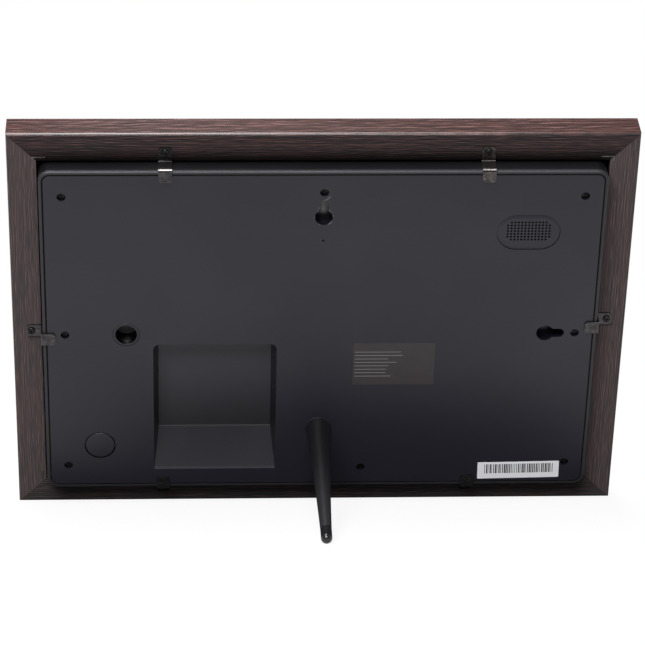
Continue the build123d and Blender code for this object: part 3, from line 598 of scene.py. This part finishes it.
def metal_finish(name, dull, bright, rough, along=UP):
    """Plated sheet or bar: mottled between two tones, scratched along its length."""
    finish, tree, shader = new_finish(name)
    wear = placed_group(tree, HANDLED_METAL, coordinates(tree, along))
    tone = mixed(tree, fade(tree, wear["Mottle"], 0.38, 0.66), dull, bright)
    scratch = maths(tree, "MULTIPLY", wear["Scratch"], 0.5)
    wire(tree, shader, {
        "Base Color": mixed(tree, scratch, tone, scaled(bright, 1.7)),
        "Metallic": 1.0,
        "Roughness": fade(tree, wear["Mottle"], 0.30, 0.70, bottom=rough + 0.08, top=rough - 0.06),
        "Normal": bumped(tree, wear["Height"], 0.01 * MM, 0.5),
    })
    return finish


def clip_finish(name, dull, bright, foot_share, bend_highlight_share, crease_shade_share):
    """Dark clip sheet, scratched: its foot on the wood darker, its bend paler with a painted highlight over
    a crease darkened with painted shade.
    """
    finish, tree, shader = new_finish(name)
    vector = coordinates(tree)
    wear = placed_group(tree, HANDLED_METAL, vector)
    tone = mixed(tree, fade(tree, wear["Mottle"], 0.38, 0.66), dull, bright)
    out = split(tree, vector)[2]
    foot = fade(tree, out, *CLIP_FOOT, bottom=foot_share, top=1.0)
    tone = mixed(tree, foot, (0.012, 0.012, 0.013), tone)
    facing = along_line(tree, shade(tree, "NewGeometry").outputs["Normal"], OUT)
    # Painted highlight on the bend
    bend_highlight = product(
        tree,
        fade(tree, facing, 0.15, 0.40),
        fall(tree, facing, 0.72, 0.90),
        fade(tree, out, *CLIP_RISE, top=bend_highlight_share),
    )
    # Painted shade in the crease where the bend meets the tab
    crease_shade = product(
        tree, fade(tree, facing, 0.82, 0.92), fall(tree, facing, 0.9985, 0.9995), crease_shade_share
    )
    tone = mixed(tree, crease_shade, tone, (0.006, 0.006, 0.006))
    # Scratches rubbed bright, and the bend's painted highlight
    scratches_and_highlight = maths(tree, "MAXIMUM", maths(tree, "MULTIPLY", wear["Scratch"], 0.35), bend_highlight)
    wire(tree, shader, {
        "Base Color": mixed(tree, scratches_and_highlight, tone, (0.48, 0.45, 0.43)),
        "Metallic": 1.0,
        "Roughness": fade(tree, wear["Mottle"], 0.30, 0.70, bottom=0.46, top=0.32),
        "Normal": bumped(tree, wear["Height"], 0.01 * MM, 0.5),
    })
    return finish


def leg_finish():
    """Black coat on the turned leg, faintly orange-peeled, with painted light making it paler towards its
    foot.
    """
    finish, tree, shader = new_finish("black_coated_metal")
    vector = coordinates(tree)
    surface = placed_group(tree, MOULDED, vector)
    peel = noise(tree, vector, 900.0, detail=1.0)
    smudged = fade(tree, surface["Smudge"], 0.35, 0.7)
    tone = mixed(tree, smudged, (0.0040, 0.0040, 0.0048), (0.0060, 0.0060, 0.0070))
    # Painted light: the coat paler towards the foot, beyond the frame's shade
    paler = fade(tree, split(tree, vector)[2], *LEG_PAINTED_LIGHT, top=0.8)
    tone = mixed(tree, paler, tone, (0.0215, 0.0210, 0.0245))
    dust = maths(tree, "MULTIPLY", surface["Dust"], 0.25)
    wire(tree, shader, {
        "Base Color": mixed(tree, dust, tone, (0.12, 0.12, 0.12)),
        "Roughness": fade(tree, surface["Smudge"], 0.3, 0.75, bottom=0.42, top=0.34),
        "Normal": bumped(tree, peel, 0.02 * MM, 0.4),
    })
    return finish


def foot_finish():
    """Glossy dark rubber of the leg's tip."""
    finish, tree, shader = new_finish("dark_rubber")
    surface = placed_group(tree, MOULDED, coordinates(tree))
    wire(tree, shader, {
        "Base Color": mixed(tree, surface["Smudge"], (0.006, 0.006, 0.007), (0.014, 0.014, 0.015)),
        "Roughness": fade(tree, surface["Smudge"], 0.3, 0.7, bottom=0.14, top=0.24),
        "Normal": bumped(tree, surface["Height"], 0.01 * MM, 0.3),
    })
    return finish


def inner_finish(name, low, high, rough, spots=300.0):
    """Plain inner material that varies between two tones."""
    finish, tree, shader = new_finish(name)
    cloud = noise(tree, coordinates(tree), spots, detail=4.0)
    wire(tree, shader, {
        "Base Color": mixed(tree, fade(tree, cloud, 0.35, 0.65), low, high),
        "Roughness": fade(tree, cloud, 0.3, 0.7, bottom=rough + 0.05, top=rough - 0.05),
        "Normal": bumped(tree, cloud, 0.02 * MM, 0.3),
    })
    return finish


def glass_finish():
    """Front glass over a dark display, with its printed border."""
    finish, tree, shader = new_finish("dark_front_glass")
    vector = coordinates(tree)
    across, up = split(tree, vector)[:2]
    beyond_side = maths(tree, "SUBTRACT", maths(tree, "ABSOLUTE", across), VIEW_WIDTH / 2)
    beyond_end = maths(tree, "SUBTRACT", maths(tree, "ABSOLUTE", up), VIEW_HEIGHT / 2)
    border = fade(tree, maths(tree, "MAXIMUM", beyond_side, beyond_end), 0.0, BORDER_START)
    film = noise(tree, vector, 9.0, detail=3.0)
    screen = mixed(tree, film, (0.0075, 0.0085, 0.011), (0.011, 0.012, 0.015))
    wire(tree, shader, {
        "Base Color": mixed(tree, border, screen, (0.0028, 0.0028, 0.003)),
        "Roughness": fade(tree, film, 0.3, 0.7, bottom=0.05, top=0.09),
        "Coat Weight": 0.6,
        "Coat Roughness": 0.03,
    })
    return finish


def label_finish():
    """Dark printed film with plain ruled lines of chance lengths."""
    finish, tree, shader = new_finish("dark_label_film")
    width, height = LABEL_SIZE
    vector = coordinates(tree)
    across, up = split(tree, vector)[:2]
    x = maths(tree, "SUBTRACT", across, LABEL_MIDDLE[0])
    y = maths(tree, "SUBTRACT", up, LABEL_MIDDLE[1])
    rows = maths(tree, "DIVIDE", y, RULE_PITCH)
    off_line = maths(tree, "ABSOLUTE", maths(tree, "SUBTRACT", maths(tree, "FRACT", rows), 0.5))
    longer = maths(tree, "MULTIPLY", chance(tree, maths(tree, "FLOOR", rows)), RULE_SPREAD)
    start = RULE_SIDE_MARGIN - width / 2
    outermost = height / 2 - RULE_END_MARGIN
    rules = product(
        tree,
        fall(tree, off_line, 0.05, 0.11),
        fade(tree, x, start, start + 2 * PRINT_EDGE),
        maths(tree, "LESS_THAN", x, maths(tree, "ADD", longer, RULE_SHORTEST)),
        fall(tree, maths(tree, "ABSOLUTE", y), outermost, outermost + PRINT_EDGE),
    )
    film = noise(tree, vector, 420.0, detail=3.0)
    ground = mixed(tree, film, (0.0270, 0.0215, 0.0245), (0.0330, 0.0265, 0.0300))
    wire(tree, shader, {
        "Base Color": mixed(tree, maths(tree, "MULTIPLY", rules, 0.8), ground, (0.26, 0.255, 0.26)),
        "Roughness": fade(tree, film, 0.3, 0.7, bottom=0.42, top=0.34),
        "Normal": bumped(tree, film, 0.01 * MM, 0.3),
    })
    return finish


def sticker_finish():
    """White paper with a row of upright bars of chance widths."""
    finish, tree, shader = new_finish("printed_paper")
    width, height = STICKER_SIZE
    place = shade(tree, "TexCoord").outputs["Object"]
    axes = laid(*STICKER_MIDDLE, 0.0, STICKER_TURN)
    inputs = {"Vector": place, "Location": axes.to_translation(), "Rotation": axes.to_euler()}
    vector = shade(tree, "Mapping", inputs, vector_type="TEXTURE").outputs[0]
    x, y = split(tree, vector)[:2]
    places = maths(tree, "DIVIDE", x, BAR_PITCH)
    thickness = fade(tree, chance(tree, maths(tree, "FLOOR", places)), 0.0, 1.0, bottom=0.30, top=0.78)
    last = width / 2 - BAR_SIDE_MARGIN
    top = height / 2 - BAR_TOP_MARGIN
    bars = product(
        tree,
        maths(tree, "LESS_THAN", maths(tree, "FRACT", places), thickness),
        fall(tree, maths(tree, "ABSOLUTE", x), last, last + PRINT_EDGE),
        fade(tree, y, BAR_FOOT, BAR_FOOT + PRINT_EDGE),
        fall(tree, y, top, top + PRINT_EDGE),
    )
    fibre = noise(tree, vector, 2400.0, detail=4.0)
    paper = mixed(tree, fibre, (0.87, 0.87, 0.92), (0.93, 0.93, 0.97))
    wire(tree, shader, {
        "Base Color": mixed(tree, bars, paper, (0.035, 0.034, 0.036)),
        "Roughness": fade(tree, fibre, 0.3, 0.7, bottom=0.55, top=0.45),
        "Normal": bumped(tree, fibre, 0.01 * MM, 0.3),
    })
    return finish


def dress(finish, *nodes):
    """Gives CAD nodes a finish."""
    for node in nodes:
        slots = frame["nodes"][node].data.materials
        slots.clear()
        slots.append(finish)


cover_plastic = plastic_finish(
    "black_moulded_plastic", colour=(0.0068, 0.0062, 0.0132), rough=0.43, dust_share=0.5, shine=0.55,
    wall_top=COVER_FACE - 0.2 * MM, wall_shade_tone=(0.0050, 0.0048, 0.0090),
    pocket_lit_tone=(0.0190, 0.0180, 0.0235),
)
button_plastic = plastic_finish(
    "black_button_plastic", colour=(0.0068, 0.0064, 0.0125), rough=0.43, dust_share=0.3, shine=0.55,
    wall_top=COVER_FACE - 0.6 * MM, wall_shade_tone=(0.0030, 0.0030, 0.0040),
)
housing_plastic = plastic_finish(
    "black_housing_plastic", colour=(0.0120, 0.0116, 0.0165), rough=0.58, dust_share=0.7, shine=0.6,
    wall_top=COVER_FACE - 1.6 * MM, wall_shade_tone=(0.0030, 0.0030, 0.0042),
)
# One veneer in three copies whose backs differ by painted light: each rail's depth, painted sheen and
# inward painted shade follow how light falls on it
top_wood = wood_finish(
    "dark_wood_top", along=ACROSS, painted_back_sheen=(0.0082, 0.0154, 0.0174), depth=0.84, inward_shade_share=0.95
)
bottom_wood = wood_finish(
    "dark_wood_bottom", along=ACROSS, painted_back_sheen=(0.0130, 0.0260, 0.0285), depth=0.80, inward_shade_share=0.0
)
upright_wood = wood_finish(
    "dark_wood_upright", along=UP, painted_back_sheen=(0.0450, 0.0487, 0.0513), depth=0.92, inward_shade_share=0.0
)
screw_steel = metal_finish("black_plated_screw", (0.022, 0.022, 0.023), (0.050, 0.049, 0.050), 0.40)
nail_steel = metal_finish("bare_nail_steel", (0.075, 0.072, 0.070), (0.170, 0.166, 0.163), 0.36, ACROSS)
stud_steel = metal_finish("dark_turned_steel", (0.090, 0.088, 0.086), (0.170, 0.168, 0.165), 0.28, OUT)
bush_steel = metal_finish("black_turned_bush", (0.014, 0.014, 0.015), (0.026, 0.026, 0.027), 0.34, OUT)
socket_metal = metal_finish("plated_socket", (0.42, 0.41, 0.39), (0.60, 0.59, 0.57), 0.30, ACROSS)
tray_steel = metal_finish("plain_tray_sheet", (0.40, 0.40, 0.40), (0.55, 0.55, 0.55), 0.34, ACROSS)
board_green = inner_finish("green_board", (0.010, 0.060, 0.026), (0.016, 0.085, 0.040), 0.45)
cable_amber = inner_finish("amber_flat_cable", (0.30, 0.13, 0.03), (0.38, 0.18, 0.05), 0.40)
lead_black = inner_finish("black_lead", (0.010, 0.010, 0.010), (0.018, 0.018, 0.018), 0.50, 900.0)
black_part = inner_finish("black_inner_part", (0.012, 0.012, 0.013), (0.020, 0.020, 0.021), 0.42, 700.0)
grey_foam = inner_finish("grey_foam", (0.035, 0.035, 0.036), (0.070, 0.070, 0.072), 0.85, 1500.0)
clear_guide = inner_finish("milky_light_guide", (0.62, 0.64, 0.64), (0.70, 0.72, 0.72), 0.20, 60.0)
dark_cell = inner_finish("dark_display_cell", (0.010, 0.011, 0.013), (0.016, 0.017, 0.020), 0.22, 80.0)

dress(top_wood, "top_rail")
dress(bottom_wood, "bottom_rail")
dress(upright_wood, "left_rail", "right_rail")
dress(cover_plastic, "rear_cover", "speaker_grille")
dress(housing_plastic, "housing_frame")
dress(button_plastic, "power_button")
# One sheet for all clips; the tones and shares differ from clip to clip with how each catches light,
# painted highlight and shade included
for side, dull, bright, foot_share, bend_highlight_share, crease_shade_share in (
    ("top_left", (0.050, 0.046, 0.048), (0.084, 0.078, 0.080), 0.25, 0.45, 0.95),
    ("top_right", (0.058, 0.051, 0.050), (0.132, 0.118, 0.116), 0.60, 0.30, 0.95),
    ("left", (0.052, 0.047, 0.051), (0.078, 0.071, 0.076), 1.0, 0.15, 0.0),
    ("right", (0.052, 0.047, 0.051), (0.078, 0.071, 0.076), 1.0, 0.15, 0.0),
    ("bottom", (0.042, 0.039, 0.041), (0.066, 0.062, 0.064), 0.15, 0.1, 0.0),
):
    clips = [name for name in frame["nodes"] if name.startswith("clip_" + side)]
    dress(clip_finish(side + "_clip_sheet", dull, bright, foot_share, bend_highlight_share, crease_shade_share), *clips)
dress(screw_steel, "clip_screws", "cover_screws", "board_screws")
dress(nail_steel, "corner_v_nails")
dress(glass_finish(), "touch_glass")
dress(dark_cell, "display_panel")
dress(clear_guide, "light_guide")
dress(tray_steel, "backlight_tray")
dress(board_green, "main_board", "button_board")
dress(cable_amber, "flat_cables", "antenna")
dress(lead_black, "speaker_lead", "antenna_lead", "button_lead")
dress(socket_metal, "usb_port", "card_slot")
dress(black_part, "dc_jack", "power_switch", "switch_plunger", "speaker")
dress(grey_foam, "speaker_gasket")
dress(leg_finish(), "leg_rod")
dress(foot_finish(), "leg_foot")
dress(stud_steel, "leg_stud")
dress(cover_plastic, "leg_bush", "portrait_bush")


# Modelled pieces


def edit(piece, mode="FACE"):
    """Opens a piece in edit mode with nothing selected."""
    bpy.ops.object.select_all(action="DESELECT")
    bpy.context.view_layer.objects.active = piece
    piece.select_set(True)
    bpy.ops.object.mode_set(mode="EDIT")
    bpy.ops.mesh.select_mode(type=mode)
    bpy.ops.mesh.select_all(action="DESELECT")


def close():
    """Leaves edit mode."""
    bpy.ops.object.mode_set(mode="OBJECT")


def pick(piece, wanted, mode="FACE"):
    """Opens a piece in edit mode with the wanted faces or edges selected."""
    edit(piece, mode)
    close()
    for element in piece.data.polygons if mode == "FACE" else piece.data.edges:
        element.select = wanted(element)
    bpy.ops.object.mode_set(mode="EDIT")


def face_outwards():
    """Turns the faces of the piece in edit mode outwards and leaves edit mode."""
    bpy.ops.mesh.select_all(action="SELECT")
    bpy.ops.mesh.normals_make_consistent(inside=False)
    close()


def rounded(offset, segments):
    """Rounds the selected edges."""
    bpy.ops.mesh.bevel(affect="EDGES", offset=offset, segments=segments)


def raised(height):
    """Extrudes the selected faces along z and selects their outline."""
    bpy.ops.mesh.extrude_region_move(TRANSFORM_OT_translate={"value": (0.0, 0.0, height)})
    bpy.ops.mesh.region_to_loop()


def on_circle(piece, edge, radius, height):
    """Whether an edge lies on a circle about z."""
    ends = [piece.data.vertices[number].co for number in edge.vertices]
    near = 0.01 * MM
    return all(abs(end.xy.length - radius) < near and abs(end.z - height) < near for end in ends)


def settle(piece, place, finish, body):
    """Puts a finished piece's place in its mesh, gives it its finish and sets it on its body."""
    piece.data.transform(place)
    piece.data.materials.append(finish)
    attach(piece, body)


def thin_film(name, size, corner):
    """Thin sheet with rounded corners and a softened upper edge."""
    bpy.ops.mesh.primitive_plane_add(size=1.0)
    piece = bpy.context.object
    piece.name = name
    edit(piece, "VERT")
    bpy.ops.mesh.select_all(action="SELECT")
    bpy.ops.transform.resize(value=(*size, 1.0))
    bpy.ops.mesh.bevel(affect="VERTICES", offset=corner, segments=5)
    bpy.ops.mesh.select_all(action="SELECT")
    raised(FILM_THICKNESS)
    rounded(0.4 * FILM_THICKNESS, 2)
    face_outwards()
    return piece


def thread_ridge(name, root, crest, turns):
    """Helical ridge about z from a root radius to a crest radius, centred on the origin."""
    bpy.ops.mesh.primitive_circle_add(
        vertices=3, radius=1.0, fill_type="NOTHING", rotation=(0.0, -math.pi / 2, -math.pi / 2)
    )
    ridge = bpy.context.object
    ridge.name = name
    bpy.ops.object.transform_apply(location=False, rotation=True, scale=False)
    depth = (crest - root) / 1.5
    edit(ridge, "VERT")
    bpy.ops.mesh.select_all(action="SELECT")
    section = (depth, 1.0, THREAD_PITCH * THREAD_FLANK)
    bpy.ops.transform.resize(value=section, center_override=(0.0, 0.0, 0.0))
    bpy.ops.transform.translate(value=(root + depth / 2, 0.0, -turns * THREAD_PITCH / 2))
    close()
    coil = ridge.modifiers.new("coil", "SCREW")
    coil.axis = "Z"
    coil.angle = 2 * math.pi
    coil.screw_offset = THREAD_PITCH
    coil.iterations = turns
    coil.steps = THREAD_STEPS
    coil.render_steps = THREAD_STEPS
    bpy.ops.object.modifier_apply(modifier="coil")
    edit(ridge, "EDGE")
    bpy.ops.mesh.select_non_manifold()
    bpy.ops.mesh.fill_holes(sides=3)
    face_outwards()
    return ridge


def joined(piece, ridge):
    """Joins a thread ridge into its piece and smooths what is round."""
    bpy.ops.object.select_all(action="DESELECT")
    ridge.select_set(True)
    piece.select_set(True)
    bpy.context.view_layer.objects.active = piece
    bpy.ops.object.join()
    bpy.ops.object.shade_smooth_by_angle(angle=SMOOTH_ANGLE)


def threaded_bush(node):
    """Bush in the cover with a thread and a softened mouth in its bore."""
    outer, length = span(node, ACROSS) / 2, span(node, OUT)
    bpy.ops.mesh.primitive_cylinder_add(vertices=72, radius=outer, depth=length)
    bush = bpy.context.object
    bush.name = "threaded_" + node
    pick(bush, lambda face: abs(face.normal.z) > 0.9)
    bpy.ops.mesh.inset(thickness=outer - BUSH_BORE_RADIUS)
    bpy.ops.mesh.bridge_edge_loops()
    close()
    for radius in (BUSH_BORE_RADIUS, outer):
        pick(bush, lambda edge: on_circle(bush, edge, radius, length / 2), "EDGE")
        rounded(BUSH_MOUTH_ROUND, 3)
        close()
    edit(bush)
    face_outwards()
    bush.data.materials.append(cover_plastic)
    bush.data.materials.append(bush_steel)
    for face in bush.data.polygons:
        face.material_index = int(face.center.xy.length < BUSH_BORE_RADIUS + 0.2 * MM)
    turns = int(length / THREAD_PITCH) - 1
    ridge = thread_ridge("bush_thread", BUSH_BORE_RADIUS + THREAD_ROOT_LAP, BUSH_CREST_RADIUS, turns)
    ridge.data.materials.append(bush_steel)
    joined(bush, ridge)
    bush.data.transform(laid(*middle_of(node)))
    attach(bush, "frame")
    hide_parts(node)


def threaded_stud():
    """Stud between the bush and the leg: a threaded shank and a plain spigot in the leg."""
    across, up, out = middle_of("leg_stud")
    shank = span("leg_stud", OUT) - SPIGOT_LENGTH
    bpy.ops.mesh.primitive_cylinder_add(vertices=72, radius=STUD_CORE_RADIUS, depth=shank)
    stud = bpy.context.object
    stud.name = "threaded_leg_stud"
    pick(stud, lambda face: face.normal.z > 0.9)
    bpy.ops.mesh.inset(thickness=STUD_CORE_RADIUS - SPIGOT_RADIUS)
    raised(SPIGOT_LENGTH)
    rounded(SPIGOT_BEVEL, 2)
    close()
    pick(stud, lambda edge: on_circle(stud, edge, STUD_CORE_RADIUS, -shank / 2), "EDGE")
    rounded(STUD_TIP_BEVEL, 2)
    face_outwards()
    turns = int(shank / THREAD_PITCH) - 1
    joined(stud, thread_ridge("stud_thread", STUD_CORE_RADIUS - THREAD_ROOT_LAP, STUD_CREST_RADIUS, turns))
    settle(stud, laid(across, up, out - SPIGOT_LENGTH / 2), stud_steel, "leg_stud")
    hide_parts("leg_stud")


def button_cap():
    """Power button: round cap with a softened rim, a collar behind the cover and a stem to its switch."""
    across, up = middle_of("power_button")[:2]
    low, high = (place - ORIGIN.dot(OUT) for place in reach("power_button", OUT))
    collar = span("power_button", ACROSS) / 2
    collar_top = COVER_FACE - COVER_WALL - BUTTON_SEAT
    collar_low = collar_top - BUTTON_COLLAR
    bpy.ops.mesh.primitive_cylinder_add(vertices=96, radius=collar, depth=BUTTON_COLLAR)
    button = bpy.context.object
    button.name = "power_button_cap"
    pick(button, lambda face: face.normal.z < -0.9)
    bpy.ops.mesh.inset(thickness=collar - BUTTON_STEM_RADIUS)
    raised(low - collar_low)
    rounded(BUTTON_STEM_BEVEL, 2)
    close()
    pick(button, lambda face: face.normal.z > 0.9)
    bpy.ops.mesh.inset(thickness=collar - BUTTON_CAP_RADIUS)
    raised(high - collar_top)
    rounded(BUTTON_RIM_ROUND, 4)
    face_outwards()
    bpy.ops.object.shade_smooth_by_angle(angle=SMOOTH_ANGLE)
    place = laid(across, up, (collar_low + collar_top) / 2)
    settle(button, place, button_plastic, "power_button")
    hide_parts("power_button")


def rating_label():
    """Dark film on the cover, right of its middle."""
    film = thin_film("rating_label", LABEL_SIZE, LABEL_CORNER)
    settle(film, laid(*LABEL_MIDDLE, COVER_FACE), label_finish(), "frame")


def bar_sticker():
    """White paper sticker by the lower right screw, set a little askew."""
    paper = thin_film("bar_sticker", STICKER_SIZE, STICKER_CORNER)
    place = laid(*STICKER_MIDDLE, COVER_FACE, STICKER_TURN)
    settle(paper, place, sticker_finish(), "frame")


rating_label()
bar_sticker()
threaded_bush("leg_bush")
threaded_bush("portrait_bush")
threaded_stud()
button_cap()


# Stage, light and camera

# The floor in metres: where it runs out into white, where its mirrored white ends on the camera's side,
# and the dark that the back mirrors: its stretch, shift and edge, and its band under the lower rail
FLOOR_SIZE = 14.0
FLOOR_WHITE = (0.35, 0.95)
ROOM_SIDE = (0.13, 0.36)
DARK_STRETCH = (0.26, 1.0, 0.0)
DARK_SHIFT = (0.006, 0.0, 0.0)
DARK_EDGE = (0.017, 0.047)
UNDER_RAIL_START = (-0.090, -0.075)
UNDER_RAIL_END = (-0.022, -0.002)
SEEN_WHITE_SHARE = 0.88
SEEN_TONE = (0.80, 0.80, 0.80)
UNSEEN_TONE = (0.14, 0.14, 0.14)
WHITE = (1.0, 1.0, 1.0, 1.0)


def mirrored_rays(path):
    """Mask of the rays that leave a glossy or clear surface."""
    tree = path.id_data
    return maths(tree, "MAXIMUM", path.outputs["Is Glossy Ray"], path.outputs["Is Transmission Ray"])


def floor():
    """Pale floor that keeps the shadow near the object and runs out into white."""
    bpy.ops.mesh.primitive_plane_add(size=FLOOR_SIZE)
    ground = bpy.context.object
    ground.name = "floor"
    finish = bpy.data.materials.new("pale_floor")
    finish.use_nodes = True
    tree = finish.node_tree
    tree.nodes.clear()
    path = shade(tree, "LightPath")
    seen = path.outputs["Is Camera Ray"]
    place = shade(tree, "TexCoord").outputs["Object"]
    far = fade(tree, length_of(tree, place), *FLOOR_WHITE)
    stretch = {0: place, 1: DARK_STRETCH, 2: DARK_SHIFT}
    stretched = shade(tree, "VectorMath", stretch, operation="MULTIPLY_ADD").outputs[0]
    clear = fade(tree, length_of(tree, stretched), *DARK_EDGE)
    away = split(tree, place)[1]
    under_rail = maths(
        tree, "MULTIPLY", fade(tree, away, *UNDER_RAIL_START), fall(tree, away, *UNDER_RAIL_END)
    )
    open_floor = product(
        tree,
        maths(tree, "MAXIMUM", clear, far),
        fall(tree, away, *ROOM_SIDE),
        mirrored_rays(path),
        maths(tree, "SUBTRACT", 1.0, under_rail),
    )
    share = maths(tree, "MULTIPLY", maths(tree, "MAXIMUM", far, SEEN_WHITE_SHARE), seen)
    share = maths(tree, "MAXIMUM", share, open_floor)
    pale = mixed(tree, seen, UNSEEN_TONE, SEEN_TONE)
    lit = shade(tree, "BsdfDiffuse", {"Color": pale}).outputs[0]
    white = shade(tree, "Emission", {"Color": WHITE, "Strength": 1.0}).outputs[0]
    surface = shade(tree, "MixShader", {0: share, 1: lit, 2: white}).outputs[0]
    shade(tree, "OutputMaterial", {"Surface": surface})
    ground.data.materials.append(finish)


def white_surroundings(ambient, dim_side, dim_top):
    """White all round as seen, mirrored as a white backdrop with a dimmer room behind the camera."""
    world = bpy.data.worlds.new("studio")
    world.use_nodes = True
    bpy.context.scene.world = world
    tree = world.node_tree
    tree.nodes.clear()
    path = shade(tree, "LightPath")
    away, above = split(tree, shade(tree, "TexCoord").outputs["Generated"])[1:]
    backdrop = fade(tree, away, -0.25, 0.35, bottom=1.0, top=dim_side)
    overhead = fade(tree, above, 0.25, 0.70, bottom=1.0, top=dim_top)
    backdrop = product(tree, backdrop, overhead, mirrored_rays(path))
    strength = maths(tree, "MAXIMUM", path.outputs["Is Camera Ray"], backdrop)
    strength = maths(tree, "MAXIMUM", strength, ambient)
    light = shade(tree, "Background", {"Color": WHITE, "Strength": strength}).outputs[0]
    shade(tree, "OutputWorld", {"Surface": light})


def stood(name, data, place, turn):
    """Lamp or camera set in the scene."""
    holder = bpy.data.objects.new(name, data)
    bpy.context.scene.collection.objects.link(holder)
    holder.location = place
    holder.rotation_mode = "QUATERNION"
    holder.rotation_quaternion = turn
    return holder


def softbox(name, place, target, width, height, power):
    """Rectangular lamp turned to a point."""
    lamp = bpy.data.lights.new(name, "AREA")
    lamp.shape = "RECTANGLE"
    lamp.size = width
    lamp.size_y = height
    lamp.energy = power
    stood(name, lamp, place, (target - Vector(place)).to_track_quat("-Z", "Y"))


def camera():
    """Long lens behind the frame, a little above it."""
    place = Vector((66.49, 1342.83, 273.56)) * MM
    aim = Vector((-0.85, 0.0, 91.73)) * MM
    roll = Quaternion((0.0, 0.0, 1.0), math.radians(0.132))
    lens = bpy.data.cameras.new("camera")
    lens.lens = 164.0
    lens.sensor_width = 36.0
    turn = (aim - place).to_track_quat("-Z", "Y") @ roll
    bpy.context.scene.camera = stood("camera", lens, place, turn)


middle = (cad_box[0] + cad_box[1]) / 2
floor()
white_surroundings(ambient=0.20, dim_side=0.18, dim_top=0.35)
softbox("overhead_softbox", (0.20, -0.08, 1.35), middle, width=1.6, height=0.5, power=25.0)
softbox("camera_side_softbox", (0.35, 1.50, 1.20), middle, width=1.2, height=1.0, power=43.0)
camera()
bpy.context.scene.view_settings.view_transform = "Standard"
